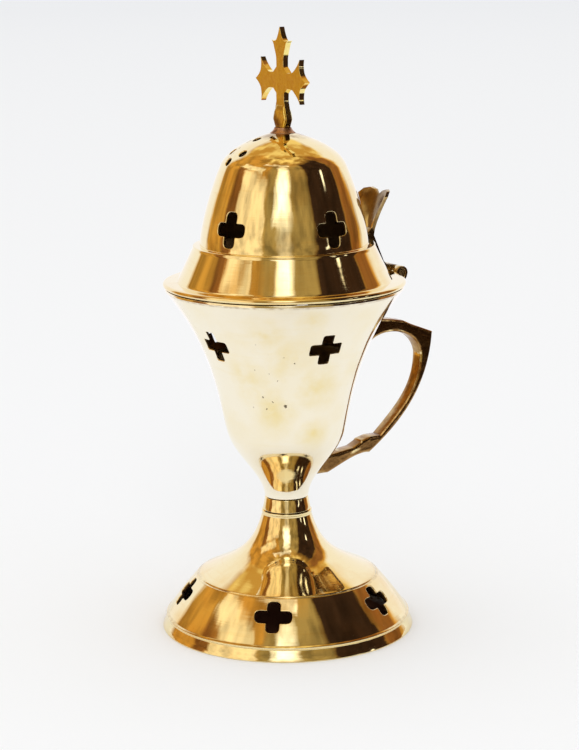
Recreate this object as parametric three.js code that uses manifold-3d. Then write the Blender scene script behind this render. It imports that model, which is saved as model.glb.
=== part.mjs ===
// Table censer: a spun brass foot and cup, a domed lid on a rear hinge, a cast handle,
// a thumb lever that opens the lid, and a cross on top. A dish inside holds the charcoal.
// Millimetres, +Z up. The handle and the hinge lie along +X, and the front faces -X.
// Every piece is drawn about the foot's axis. The finished censer is then set so that its
// origin is the middle of the space that it takes up on a table.

import * as THREE from 'three';
import { mergeVertices } from 'three/addons/utils/BufferGeometryUtils.js';
import Module from 'manifold-3d';

const wasm = await Module();
wasm.setup();

// Clearances and walls
const seatGap = 0.3; // between pieces that sit against each other
const boreGap = 0.3; // round a pin, rivet, screw or bolt in its hole
const hingeGap = 0.3; // between the hinge's knuckles, and from them to the lid's rim
const sheetWall = 1.1; // spun brass of the cup and the lid
const footWall = 1.3; // spun brass of the foot
const edgeBreak = 0.4; // small chamfer on a turned edge

// Foot
const footRadius = 42.5;
const footRimWidth = 1.9;
const footRimRise = 3.0;
const footRimLean = 0.9;
const footBandHeight = 4.6;
const footBandInset = 1.6;
const footBeadDepth = 0.5;
const footBeadProud = 0.15;
const shoulderRadius = 30.6;
const shoulderHeight = 17.6;
const shoulderGroove = 0.5;
const shoulderStep = 0.3;
const bellSag = 0.2;
const footHeight = 39.8;
const neckRadius = 8.25;
const neckFlange = 0.8;

// Collar between the foot and the cup
const collarRadius = 7.25;
const collarHeight = 4.2;

// Cup
const cupBaseRadius = 7.3;
const cupWaistRadius = 19.85;
const cupWaistRise = 23.4;
const cupMouthRadius = 39.3;
const cupHeight = 71.2;
const cupLipHeight = 0.9;
const cupLipProud = 0.15;
const cupFloorThickness = 3.2;

// Lid
const lidOverhang = 0.75;
const lidRimDepth = 1.7;
const lidRimWidth = 4.65;
const skirtTaper = 5.4;
const skirtHeight = 11.9;
const skirtHollow = 0.3;
const ledgeWidth = 2.3;
const ledgeRound = 0.7;
const domeTaper = 7.2;
const domeShoulderRise = 26.1;
const domeHeight = 37.0;

// How far each curve's handles reach from its start and from its end, [outwards, upwards]
const flarePulls = [[-10.9, 5.2], [3.2, -13.4]];
const bowlPulls = [[0.6, 8.3], [-1.65, -8.9]];
const cupPulls = [[2.2, 8.25], [-15.5, -19.5]];
const domePulls = [[-0.3, 6.4], [3.1, -7.0]];
const crownPulls = [[-3.1, 7.0], [3.4, 0]];

// Pierced crosses: rise is above the base of the piece or of the dome, first is in degrees,
// and gaps are the hand-set steps from one cross to the next
const footCross = { rise: 12.8, wide: 12.4, tall: 10.8, arm: 4.3, round: 1.9, first: -128 };
const cupCross = { rise: 54.7, wide: 12.0, tall: 11.0, arm: 3.8, round: 0.8, first: -170 };
const lidCross = { rise: 7.4, wide: 11.0, tall: 11.7, arm: 3.4, round: 1.5, first: -160.5 };
const footCrossGaps = [67, 73.3, 73.3, 73.3];
const bodyCrossGaps = [76.5, 71, 71, 71];
const crossCount = 5;

// Draught holes near the top of the dome: inward is from the dome's shoulder
const crownHoleRadius = 1.5;
const crownHoleAngle = 174;
const crownHoles = [
  { inward: 1.1, turn: 0 },
  { inward: 4.0, turn: 14 },
  { inward: 4.0, turn: -14 },
  { inward: 11.3, turn: 0 },
];

// Stem bolt
const boltRadius = 2.4;
const boltHeadRadius = 4.2;
const boltHeadHeight = 2.8;
const boltHeadDome = 1.2;
const boltTail = 2.0;
const washerRoom = 1.75;
const washerThickness = 1.0;
const nutRadius = 4.6;
const nutHeight = 3.6;

// Charcoal dish
const panSeatRise = 47.8;
const panDepth = 10.6;
const panWall = 0.9;
const panRimWidth = 1.6;
const panTaper = 4.4;
const panFloorRound = 1.2;
const panVentRadius = 2.0;
const panVentInset = 4.8;
const panVentCount = 6;

// Handle: the edges are [outwards, upwards]. The top is from the corner, the tail's upper edge from the
// elbow, and its lower edge from the elbow's height and the cup's wall.
const handleWidth = 5.5;
const handleBevel = 0.8;
const handleReach = 57.3;
const handleTopDrop = 14.1;
const handleCornerDrop = 6.7;
const handleTipRise = 5.8;
const handleBowDepth = 25.8;
const handleElbowRise = 5.1;
const handleTopEdge = [[-26, 6.7], [-16.1, 5.9], [-11.8, 5.0], [-8.7, 3.4], [0, 0]];
const handleTailUnder = [[10.2, -0.4], [7.4, -1.8], [5.0, -3.6], [2.2, -4.9]];
const handleTailOver = [[-6.2, 2.5], [-3.0, 4.5], [0.5, 5.5], [4.4, 5.5]];
const handleOuterPulls = [[-1.5, -18.9], [13.9, 9.4]];
const handleInnerPulls = [[9.8, 9.1], [0, -12.1]];
const handleArchPulls = [[-2.3, 10.9], [1.9, 8.1]];
const handleInnerX = 5.0;
const handleInnerDrop = 7.0;
const handleArchX = 27.3;
const handleArchDrop = 4.4;
const handleRootX = 31.3;
const handleRootDrop = 8.6;

// Handle screws
const screwRadius = 1.1;
const screwHeadRadius = 2.0;
const screwHeadHeight = 1.2;
const upperScrewDrop = 3.6;
const upperScrewReach = 6.2;
const lowerScrewDrop = 0.3;
const lowerScrewReach = 5.2;

// Hinge
const hingeRise = 0.9;
const knuckleRadius = 2.3;
const hingeHalfLength = 5.6;
const lidKnuckleHalf = 2.3;
const pinRadius = 1.05;
const pinShort = 0.1;
const slotGap = 0.4;

// Thumb lever: the bar's edge is [outwards, upwards] from the hinge
const leverBarWidth = 3.6;
const leverElbow = [[-4.8, 3.9], [-3.7, 2.8]];
const leverRootInset = 2.0;
const leafClear = 3.0;
const leafRise = 0.3;
const leafHeight = 15.5;
const leafThickness = 1.3;
const leafStemHalf = 1.0;
const leafHalfWidth = 9.8;
const leafSpread = 1.25;
const leafLobeAt = 0.52;
const leafLobeDip = 2.4;
const leafLean = 4.4;
const leafDish = 3.2;
const leafFoot = 2.5;
const leafColumns = 8;
const leafRows = 6;

// Rivets that hold the lever to the lid and the bracket to the cup
const rivetRadius = 1.1;
const rivetHeadRadius = 2.0;
const rivetHeadHeight = 0.8;
const rivetReach = 1.9;
const leverRivetRises = [3.8, 8.8];
const bracketRivetDrop = 8.6;
const bracketRivetTurn = 5.8;

// Hinge bracket: the back's edge is [outwards, upwards] from the hinge
const bracketFoot = 3.2;
const bracketFootInner = 12.4;
const bracketFootOuter = 8.4;
const bracketBack = [[-4.9, -10.4], [-0.6, -5.6], [2.1, -1.2]];
const bracketTopInset = 4.0;

// Cross on the lid: each arm is [along, half width] from the middle outwards, and the last is its tip
const crossPlate = 1.9;
const crossFootThickness = 3.2;
const crossFootBevel = 0.7;
const crossRise = 16.2;
const crossSideArm = [[4.6, 2.7], [7.4, 2.8], [9.8, 4.5], [11.6, 5.9], [12.4, 7.1], [12.6, 2.8], [15.9, 0]];
const crossTopArm = [[4.6, 2.3], [7.4, 2.4], [9.8, 3.4], [12.0, 3.9], [12.8, 5.1], [13.0, 2.2], [17.1, 0]];
const crossFootArm = [[15.9, 2.2], [12.4, 4.2], [10.0, 3.4], [6.6, 2.4], [3.9, 2.6]];
const crossKnob = [[15.9, 2.2], [12.4, 4.0], [7.6, 2.4]];
const tenonRadius = 1.4;
const tenonHeadRadius = 2.7;
const tenonHeadHeight = 1.0;
const solderRadius = 4.4;
const solderInnerRadius = 3.1;
const solderHeight = 0.8;

// Roundness, and how far a cutter runs past each side of a wall
const roundSegments = 36;
const middleSegments = 24;
const smallSegments = 16;
const rivetSegments = 10;
const curveSteps = 5;
const insideSteps = 3;
const toolReach = 4;
const weldTolerance = 1e-4;

// Heights and radii that follow from the sizes above
const collarBase = footHeight + seatGap;
const cupBase = collarBase + collarHeight + seatGap;
const cupTop = cupBase + cupHeight;
const lidBase = cupTop + seatGap;
const creaseHeight = lidBase + lidRimDepth;
const ledgeHeight = creaseHeight + skirtHeight;
const domeTop = ledgeHeight + domeHeight;
const lidRimRadius = cupMouthRadius + lidOverhang;
const creaseRadius = lidRimRadius - lidRimWidth;
const skirtTopRadius = creaseRadius - skirtTaper;
const domeRadius = skirtTopRadius - ledgeWidth;
const domeShoulderRadius = domeRadius - domeTaper;
const hingeX = lidRimRadius + hingeGap + knuckleRadius;
const hingeZ = lidBase + hingeRise;
const leverRivetHeights = leverRivetRises.map((rise) => creaseHeight + rise);
const bracketRivetHeight = cupTop - bracketRivetDrop;
const handleTop = cupTop - handleTopDrop;
const handleCornerZ = handleTop - handleCornerDrop;
const handleTip = cupBase + handleTipRise;
const handleElbowZ = handleTip + handleElbowRise;

const brass = { color: 0xd9b45a, roughness: 0.12, metalness: 1 };
const goldBrass = { color: 0xc98a1e, roughness: 0.3, metalness: 1 };
const castBrass = { color: 0x8a6a2e, roughness: 0.38, metalness: 1 };
const steel = { color: 0x9a9a96, roughness: 0.35, metalness: 1 };
const solderMetal = { color: 0xc98f74, roughness: 0.45, metalness: 1 };

const pieces = new THREE.Group();

// Shape helpers

function point(radius, height) {
  return new THREE.Vector2(radius, height);
}

// Points given as [outwards, upwards] from a place.
function offsets(x, z, list) {
  return list.map(([out, up]) => point(x + out, z + up));
}

// A curve given by its two ends and by how far its handles reach from them.
function bend(start, [startPull, endPull], end) {
  const [near, far] = [start.clone().add(point(...startPull)), end.clone().add(point(...endPull))];
  return new THREE.CubicBezierCurve(start, near, far, end);
}

function quarterTurn(cx, cz, radius, from, to, steps) {
  const points = [];
  for (let i = 0; i <= steps; i += 1) {
    const angle = THREE.MathUtils.degToRad(from + ((to - from) * i) / steps);
    points.push(point(cx + radius * Math.cos(angle), cz + radius * Math.sin(angle)));
  }
  return points;
}

// Moves an outline that climbs the outside of a turned piece towards the axis.
function inset(points, distance) {
  return points.map((here, i) => {
    const before = points[Math.max(i - 1, 0)];
    const after = points[Math.min(i + 1, points.length - 1)];
    const along = after.clone().sub(before).normalize();
    return point(here.x - along.y * distance, here.y + along.x * distance);
  });
}

// Merges the shared corners of a geometry and drops the triangles that close up on the axis.
function weld(geometry) {
  const bare = geometry.index ? geometry.toNonIndexed() : geometry.clone();
  bare.deleteAttribute('normal');
  bare.deleteAttribute('uv');
  const merged = mergeVertices(bare, weldTolerance);
  const corners = Array.from(merged.index.array);
  const kept = [];
  for (let i = 0; i < corners.length; i += 3) {
    const [a, b, c] = corners.slice(i, i + 3);
    if (a !== b && b !== c && c !== a) kept.push(a, b, c);
  }
  merged.setIndex(kept);
  return merged;
}

function solid(geometry) {
  const merged = weld(geometry);
  const triVerts = new Uint32Array(merged.index.array);
  const vertProperties = new Float32Array(merged.attributes.position.array);
  return new wasm.Manifold(new wasm.Mesh({ numProp: 3, vertProperties, triVerts }));
}

function geometryOf(shape) {
  const { vertProperties, triVerts } = shape.getMesh();
  const geometry = new THREE.BufferGeometry();
  geometry.setAttribute('position', new THREE.BufferAttribute(vertProperties, 3));
  geometry.setIndex(new THREE.BufferAttribute(triVerts, 1));
  geometry.computeVertexNormals();
  return geometry;
}

function addPiece(name, shape, finish) {
  const mesh = new THREE.Mesh(geometryOf(shape), new THREE.MeshStandardMaterial(finish));
  mesh.name = name;
  pieces.add(mesh);
}

// Turns an outline about the Z axis. The outline closes on itself or starts and ends on the axis.
function turned(outline, segments = roundSegments) {
  const ordered = THREE.ShapeUtils.area(outline) < 0 ? outline.slice().reverse() : outline;
  const onAxis = ordered[0].x < weldTolerance && ordered[ordered.length - 1].x < weldTolerance;
  const points = onAxis ? ordered : [...ordered, ordered[0]];
  return solid(new THREE.LatheGeometry(points, segments).rotateX(Math.PI / 2));
}

// A flat outline in the XZ plane, given its width along Y about the plane.
function upright(shape, width, bevel = 0) {
  const geometry = new THREE.ExtrudeGeometry(shape, {
    depth: width - 2 * bevel,
    curveSegments: curveSteps,
    bevelEnabled: bevel > 0,
    bevelThickness: bevel,
    bevelSize: bevel,
    bevelOffset: -bevel,
    bevelSegments: 1,
  });
  return solid(geometry.translate(0, 0, bevel - width / 2).rotateX(Math.PI / 2));
}

function rod(radius, length, segments = smallSegments) {
  return new THREE.CylinderGeometry(radius, radius, length, segments);
}

// A round bar along Z between two heights.
function standingRod(radius, low, high, segments) {
  return rod(radius, high - low, segments).rotateX(Math.PI / 2).translate(0, 0, (low + high) / 2);
}

// A round bar along the hinge's axis.
function hingeBar(radius, halfLength) {
  return solid(rod(radius, 2 * halfLength).translate(hingeX, 0, hingeZ));
}

// Where a curve of the outline passes a height or a radius, with the tilt of its outward normal.
function seatOn(curve, key, value) {
  let [low, high] = [0, 1];
  const rising = curve.getPoint(1)[key] > curve.getPoint(0)[key];
  for (let i = 0; i < 40; i += 1) {
    const middle = (low + high) / 2;
    const above = curve.getPoint(middle)[key] > value;
    if (above === rising) high = middle;
    else low = middle;
  }
  const place = curve.getPoint(low);
  const along = curve.getTangent(low);
  return { radius: place.x, height: place.y, tilt: Math.atan2(-along.x, along.y) };
}

// The frame of a place on a turned wall: X runs round it, Y up it and Z straight out of it.
function wallFrame(seat, degrees) {
  const turn = THREE.MathUtils.degToRad(degrees);
  const out = new THREE.Vector3(
    Math.cos(seat.tilt) * Math.cos(turn),
    Math.cos(seat.tilt) * Math.sin(turn),
    Math.sin(seat.tilt),
  );
  const round = new THREE.Vector3(-Math.sin(turn), Math.cos(turn), 0);
  const up = new THREE.Vector3().crossVectors(out, round);
  const frame = new THREE.Matrix4().makeBasis(round, up, out);
  const { radius, height } = seat;
  return frame.setPosition(radius * Math.cos(turn), radius * Math.sin(turn), height);
}

// A cross with four like arms whose ends are rounded.
function crossShape({ wide, tall, arm, round }) {
  const [w, h, a] = [wide / 2, tall / 2, arm / 2];
  const quarter = Math.PI / 2;
  const shape = new THREE.Shape();
  shape.moveTo(a, a);
  shape.lineTo(a, h - round);
  shape.absarc(a - round, h - round, round, 0, quarter);
  shape.absarc(round - a, h - round, round, quarter, 2 * quarter);
  shape.lineTo(-a, a);
  shape.absarc(round - w, a - round, round, quarter, 2 * quarter);
  shape.absarc(round - w, round - a, round, 2 * quarter, 3 * quarter);
  shape.lineTo(-a, -a);
  shape.absarc(round - a, round - h, round, 2 * quarter, 3 * quarter);
  shape.absarc(a - round, round - h, round, -quarter, 0);
  shape.lineTo(a, -a);
  shape.absarc(w - round, round - a, round, -quarter, 0);
  shape.absarc(w - round, a - round, round, 0, quarter);
  return shape;
}

// Cuts one ring of crosses through a turned wall, at a height above its base.
function pierceCrosses(wall, curve, base, cross, gaps) {
  const settings = { depth: 2 * toolReach, bevelEnabled: false, curveSegments: 2 };
  const punch = new THREE.ExtrudeGeometry(crossShape(cross), settings).translate(0, 0, -toolReach);
  const seat = seatOn(curve, 'y', base + cross.rise);
  let pierced = wall;
  let angle = cross.first;
  for (let i = 0; i < crossCount; i += 1) {
    pierced = pierced.subtract(solid(punch.clone().applyMatrix4(wallFrame(seat, angle))));
    angle += gaps[i % gaps.length];
  }
  return pierced;
}

// A round hole or pin straight through a turned wall, from one depth to another.
function wallRod(seat, degrees, radius, from, to) {
  return solid(standingRod(radius, from, to, rivetSegments).applyMatrix4(wallFrame(seat, degrees)));
}

// A bar along X, from one distance outside the cup's wall to another.
function levelRod(seat, radius, from, to) {
  const bar = rod(radius, to - from, rivetSegments).rotateZ(-Math.PI / 2);
  return solid(bar.translate(seat.radius + (from + to) / 2, 0, seat.height));
}

// The outlines of the three spun pieces, climbing the outside

const bellCurve = new THREE.QuadraticBezierCurve(
  point(footRadius - footBandInset - footBeadDepth, footBandHeight + footBeadDepth),
  point((footRadius + shoulderRadius) / 2 - bellSag, (footBandHeight + shoulderHeight) / 2),
  point(shoulderRadius, shoulderHeight),
);
const flareCurve = bend(
  point(shoulderRadius - shoulderGroove, shoulderHeight + shoulderStep),
  flarePulls,
  point(neckRadius, footHeight - neckFlange),
);
const cupWaist = point(cupWaistRadius, cupBase + cupWaistRise);
const bowlCurve = bend(point(cupBaseRadius, cupBase), bowlPulls, cupWaist);
const cupCurve = bend(cupWaist, cupPulls, point(cupMouthRadius, cupTop - cupLipHeight));
const skirtCurve = new THREE.QuadraticBezierCurve(
  point(creaseRadius, creaseHeight),
  point((creaseRadius + skirtTopRadius) / 2 - skirtHollow, (creaseHeight + ledgeHeight) / 2),
  point(skirtTopRadius, ledgeHeight - ledgeRound),
);
const domeShoulder = point(domeShoulderRadius, ledgeHeight + domeShoulderRise);
const domeCurve = bend(point(domeRadius, ledgeHeight), domePulls, domeShoulder);
const crownCurve = bend(domeShoulder, crownPulls, point(0, domeTop));

// Where the fixings go through those walls
const upperScrewSeat = seatOn(cupCurve, 'y', handleTop - upperScrewDrop);
const lowerScrewSeat = seatOn(bowlCurve, 'y', handleElbowZ - lowerScrewDrop);
const bracketRivetSeat = seatOn(cupCurve, 'y', bracketRivetHeight);
const leverRivetSeats = leverRivetHeights.map((height) => seatOn(skirtCurve, 'y', height));

// The outside of the cup and of the lid, for cutting what sits against them

function cupOutline(steps = curveSteps) {
  return [...bowlCurve.getPoints(steps), ...cupCurve.getPoints(steps + 2).slice(1)];
}

function lidOutline() {
  const skirt = skirtCurve.getPoints(curveSteps - 2);
  const dome = domeCurve.getPoints(curveSteps - 1);
  const ledge = point(skirtTopRadius - ledgeRound, ledgeHeight);
  return [...skirt, ledge, ...dome, ...crownCurve.getPoints(curveSteps).slice(1)];
}

function cupEnvelope() {
  const outside = inset(cupOutline(), -seatGap);
  const lip = [point(cupMouthRadius + cupLipProud + seatGap, cupTop), point(0, cupTop)];
  return turned([point(0, cupBase), ...outside, ...lip]);
}

function lidEnvelope() {
  const rim = [point(0, lidBase), point(creaseRadius, lidBase)];
  return turned([...rim, ...inset(lidOutline(), -seatGap), point(0, domeTop + seatGap)]);
}

// Foot: a pierced bell on a turned band, drawn up into a narrow neck
function makeFoot() {
  const bandTop = footRadius - footBandInset;
  const band = [
    point(footRadius, 0),
    point(footRadius - edgeBreak, footBandHeight / 3),
    point(bandTop - footBeadProud, footBandHeight - footBeadDepth),
    point(bandTop + footBeadProud, footBandHeight),
  ];
  const bell = bellCurve.getPoints(curveSteps - 2);
  const groove = point(shoulderRadius - shoulderGroove, shoulderHeight - shoulderStep / 2);
  const flare = flareCurve.getPoints(curveSteps + 2);
  const hole = boltRadius + boreGap;
  const flange = [
    point(neckRadius + footBeadProud, footHeight - neckFlange / 2),
    point(neckRadius, footHeight),
    point(hole, footHeight),
  ];
  const rim = footRadius - footRimWidth;
  const bellInside = inset(bellCurve.getPoints(insideSteps), footWall);
  const flareInside = inset(flareCurve.getPoints(insideSteps + 3), footWall);
  const ceiling = footHeight - footWall;
  const hollow = [
    point(rim, 0),
    point(rim - footRimLean, footRimRise),
    ...bellInside,
    ...flareInside.slice(1, -1),
    point(neckRadius - footWall, ceiling - neckFlange),
    point(neckRadius - footWall, ceiling),
    point(hole, ceiling),
  ];
  const outline = [...band, ...bell, groove, ...flare, ...flange, ...hollow.reverse()];
  addPiece('foot_shell', pierceCrosses(turned(outline), bellCurve, 0, footCross, footCrossGaps), brass);
}

// Collar: a plain ring that spaces the cup off the foot
function makeCollar() {
  const hole = boltRadius + boreGap;
  const top = collarBase + collarHeight;
  const outline = [
    point(hole, collarBase),
    point(collarRadius, collarBase),
    point(collarRadius, top - edgeBreak),
    point(collarRadius - edgeBreak, top),
    point(hole, top),
  ];
  addPiece('stem_collar', turned(outline, middleSegments), brass);
}

// Cup: a tall flaring bowl with a rolled lip, draught crosses and holes for its fixings
function makeCup() {
  const hole = boltRadius + boreGap;
  const floor = cupBase + cupFloorThickness;
  const lip = [
    point(cupMouthRadius + cupLipProud, cupTop - cupLipHeight / 2),
    point(cupMouthRadius, cupTop),
    point(cupMouthRadius - sheetWall, cupTop),
  ];
  const wall = inset(cupOutline(insideSteps + 1), sheetWall).slice(0, -1);
  const well = point(seatOn(bowlCurve, 'y', floor).radius - sheetWall, floor);
  const mouth = point(cupMouthRadius - sheetWall - cupLipHeight / 2, cupTop - cupLipHeight);
  const inside = wall.filter((place) => place.y > floor + edgeBreak);
  const hollow = [point(hole, floor), well, ...inside, mouth];
  const outline = [point(hole, cupBase), ...cupOutline(), ...lip, ...hollow.reverse()];
  let cup = pierceCrosses(turned(outline), cupCurve, cupBase, cupCross, bodyCrossGaps);
  for (const seat of [upperScrewSeat, lowerScrewSeat]) {
    cup = cup.subtract(levelRod(seat, screwRadius + boreGap, -toolReach, toolReach));
  }
  for (const turn of [-bracketRivetTurn, bracketRivetTurn]) {
    cup = cup.subtract(wallRod(bracketRivetSeat, turn, rivetRadius + boreGap, -toolReach, toolReach));
  }
  addPiece('cup_bowl', cup, brass);
}

// Stem fixings: a bolt from the cup's floor, with a washer and a nut up inside the foot
function makeStemFixings() {
  const headBase = cupBase + cupFloorThickness + seatGap;
  const headTop = headBase + boltHeadHeight;
  const washerTop = footHeight - footWall - seatGap;
  const washerBase = washerTop - washerThickness;
  const nutTop = washerBase - seatGap;
  const nutBase = nutTop - nutHeight;
  const tail = nutBase - boltTail;
  const bolt = [
    point(0, tail),
    point(boltRadius - edgeBreak, tail),
    point(boltRadius, tail + edgeBreak),
    point(boltRadius, headBase),
    point(boltHeadRadius, headBase),
    point(boltHeadRadius, headTop - boltHeadDome),
    point(boltHeadRadius - boltHeadDome, headTop),
    point(0, headTop),
  ];
  addPiece('stem_bolt', turned(bolt, smallSegments), steel);
  const hole = boltRadius + boreGap;
  const washerRadius = neckRadius - footWall - washerRoom;
  const washer = [
    point(hole, washerBase),
    point(washerRadius, washerBase),
    point(washerRadius, washerTop),
    point(hole, washerTop),
  ];
  addPiece('stem_washer', turned(washer, smallSegments), steel);
  const block = solid(standingRod(nutRadius, nutBase, nutTop, 6));
  const bore = solid(standingRod(hole, nutBase - toolReach, nutTop + toolReach));
  addPiece('stem_nut', block.subtract(bore), steel);
}

// Charcoal dish: a shallow pan with a turned-out rim that rests in the cup and lifts out
function makePan() {
  const rimTop = cupBase + panSeatRise;
  const seat = seatOn(cupCurve, 'y', rimTop - panWall);
  const rimRadius = seat.radius - sheetWall / Math.cos(seat.tilt) - seatGap;
  const wallRadius = rimRadius - panRimWidth;
  const floorRadius = wallRadius - panTaper;
  const floorTop = rimTop - panDepth;
  const floorBase = floorTop - panWall;
  const flatRadius = floorRadius - 2 * panWall;
  const outline = [
    point(0, floorBase),
    point(floorRadius - panWall, floorBase),
    point(floorRadius + panWall / 2, floorBase + panFloorRound),
    point(wallRadius + panWall / 2, rimTop - panWall),
    point(rimRadius, rimTop - panWall),
    point(rimRadius, rimTop),
    point(wallRadius, rimTop),
    point(floorRadius - panWall, floorTop + panFloorRound),
    point(flatRadius, floorTop),
    point(0, floorTop),
  ];
  let pan = turned(outline);
  for (let i = 0; i < panVentCount; i += 1) {
    const angle = (2 * Math.PI * (i + 0.5)) / panVentCount;
    const vent = standingRod(panVentRadius, floorBase - toolReach, floorTop + toolReach, rivetSegments);
    vent.translate(flatRadius - panVentInset, 0, 0).rotateZ(angle);
    pan = pan.subtract(solid(vent));
  }
  addPiece('charcoal_pan', pan, brass);
}

// Handle: a flat cast bow with a sharp outer corner, screwed to the cup from inside
function makeHandle() {
  const [cornerX, cornerZ] = [handleReach, handleCornerZ];
  const elbow = point(cornerX - handleBowDepth, handleElbowZ);
  const over = offsets(elbow.x, elbow.y, handleTailOver);
  const bow = bend(point(cornerX, cornerZ), handleOuterPulls, elbow);
  const innerTop = point(cornerX - handleInnerX, cornerZ - handleInnerDrop);
  const archFoot = point(cornerX - handleArchX, cornerZ - handleArchDrop);
  const root = point(cornerX - handleRootX, cornerZ - handleRootDrop);
  const edge = [
    point(0, handleTop),
    ...offsets(cornerX, cornerZ, handleTopEdge),
    ...bow.getPoints(curveSteps).slice(1, -1),
    elbow,
    ...offsets(lowerScrewSeat.radius, elbow.y, handleTailUnder),
    point(0, handleTip),
    point(0, over[0].y),
    ...over,
    ...bend(over[over.length - 1], handleInnerPulls, innerTop).getPoints(curveSteps).slice(1),
    ...bend(innerTop, handleArchPulls, archFoot).getPoints(curveSteps).slice(1),
    root,
    point(0, root.y),
  ];
  let handle = upright(new THREE.Shape(edge), handleWidth, handleBevel).subtract(cupEnvelope());
  const screws = [
    { name: 'handle_screw_upper', seat: upperScrewSeat, reach: upperScrewReach },
    { name: 'handle_screw_lower', seat: lowerScrewSeat, reach: lowerScrewReach },
  ];
  for (const { name, seat, reach } of screws) {
    handle = handle.subtract(levelRod(seat, screwRadius + boreGap, -toolReach, reach + boreGap));
    addPiece(name, makeScrew(seat, reach), brass);
  }
  addPiece('handle', handle, castBrass);
}

// A screw with its head inside the cup, far enough in for the slope of the wall
function makeScrew(seat, reach) {
  const slope = Math.abs(Math.tan(seat.tilt));
  const headFace = -sheetWall / Math.cos(seat.tilt) - slope * screwHeadRadius - seatGap;
  const head = levelRod(seat, screwHeadRadius, headFace - screwHeadHeight, headFace);
  return head.add(levelRod(seat, screwRadius, headFace - screwHeadHeight / 2, reach));
}

// Lid: a rolled rim, a short flaring skirt and a pierced dome
function makeLid() {
  const bead = lidRimDepth / 2;
  const rim = quarterTurn(lidRimRadius - bead, lidBase + bead, bead, -90, 90, 4);
  const hole = tenonRadius + boreGap;
  const hollow = [
    point(creaseRadius - sheetWall, lidBase),
    ...inset(skirtCurve.getPoints(insideSteps), sheetWall),
    point(domeRadius - sheetWall, ledgeHeight - sheetWall),
    ...inset(domeCurve.getPoints(insideSteps), sheetWall),
    ...inset(crownCurve.getPoints(insideSteps + 1), sheetWall).slice(1, -1),
    point(hole, domeTop - sheetWall),
  ];
  const outline = [...rim, ...lidOutline().slice(0, -1), point(hole, domeTop), ...hollow.reverse()];
  let lid = pierceCrosses(turned(outline), domeCurve, ledgeHeight, lidCross, bodyCrossGaps);
  for (const { inward, turn } of crownHoles) {
    const seat = seatOn(crownCurve, 'x', domeShoulderRadius - inward);
    lid = lid.subtract(wallRod(seat, crownHoleAngle + turn, crownHoleRadius, -toolReach, toolReach));
  }
  for (const seat of leverRivetSeats) {
    lid = lid.subtract(wallRod(seat, 0, rivetRadius + boreGap, -toolReach, toolReach));
  }
  addPiece('lid_dome', lid, brass);
}

// Thumb leaf: a dished, two-lobed plate on a narrow stem, hollow towards the dome
function makeLeaf(reach, base) {
  const leaf = new THREE.BoxGeometry(2, 1, leafThickness, leafColumns, leafRows, 1);
  const places = leaf.attributes.position;
  for (let i = 0; i < places.count; i += 1) {
    const across = places.getX(i);
    const lobe = leafHeight - leafLobeDip * ((Math.abs(across) - leafLobeAt) / leafLobeAt) ** 2;
    const rise = lobe * (places.getY(i) + 0.5);
    const share = rise / leafHeight;
    const half = leafStemHalf + (leafHalfWidth - leafStemHalf) * share ** leafSpread;
    const lean = (leafLean - leafDish * across ** 2) * share ** 2;
    places.setXYZ(i, reach + lean + places.getZ(i), across * half, base + rise);
  }
  return solid(leaf);
}

// Thumb lever: the leaf, a bar down the skirt and the lid's knuckle, cast as one
function makeLever() {
  const reach = skirtTopRadius + leafClear + leafThickness / 2;
  const base = ledgeHeight + leafRise;
  const half = leafThickness / 2;
  const low = creaseHeight + seatGap;
  const edge = [
    point(reach + half, base + leafFoot),
    point(reach + half - edgeBreak, base),
    ...offsets(hingeX, hingeZ, leverElbow),
    point(hingeX, hingeZ + knuckleRadius),
    point(hingeX, low),
    point(creaseRadius - leverRootInset, low),
    point(skirtTopRadius - leverRootInset, ledgeHeight + seatGap),
    point(reach - 2 * leafThickness, base + leafThickness / 2),
    point(reach - half, base + leafFoot),
  ];
  const bar = upright(new THREE.Shape(edge), leverBarWidth).subtract(lidEnvelope());
  let lever = makeLeaf(reach, base).add(bar).add(hingeBar(knuckleRadius, lidKnuckleHalf));
  lever = lever.subtract(hingeBar(pinRadius + boreGap, hingeHalfLength));
  leverRivetSeats.forEach((seat, i) => {
    const hole = wallRod(seat, 0, rivetRadius + boreGap, -toolReach, rivetReach + boreGap);
    lever = lever.subtract(hole);
    addPiece(i === 0 ? 'lever_rivet_lower' : 'lever_rivet_upper', makeRivet(seat, 0), brass);
  });
  addPiece('thumb_lever', lever, castBrass);
}

// A rivet through a turned wall with its head inside
function makeRivet(seat, degrees) {
  const headFace = -sheetWall - seatGap;
  const head = wallRod(seat, degrees, rivetHeadRadius, headFace - rivetHeadHeight, headFace);
  return head.add(wallRod(seat, degrees, rivetRadius, headFace - rivetHeadHeight / 2, rivetReach));
}

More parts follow.
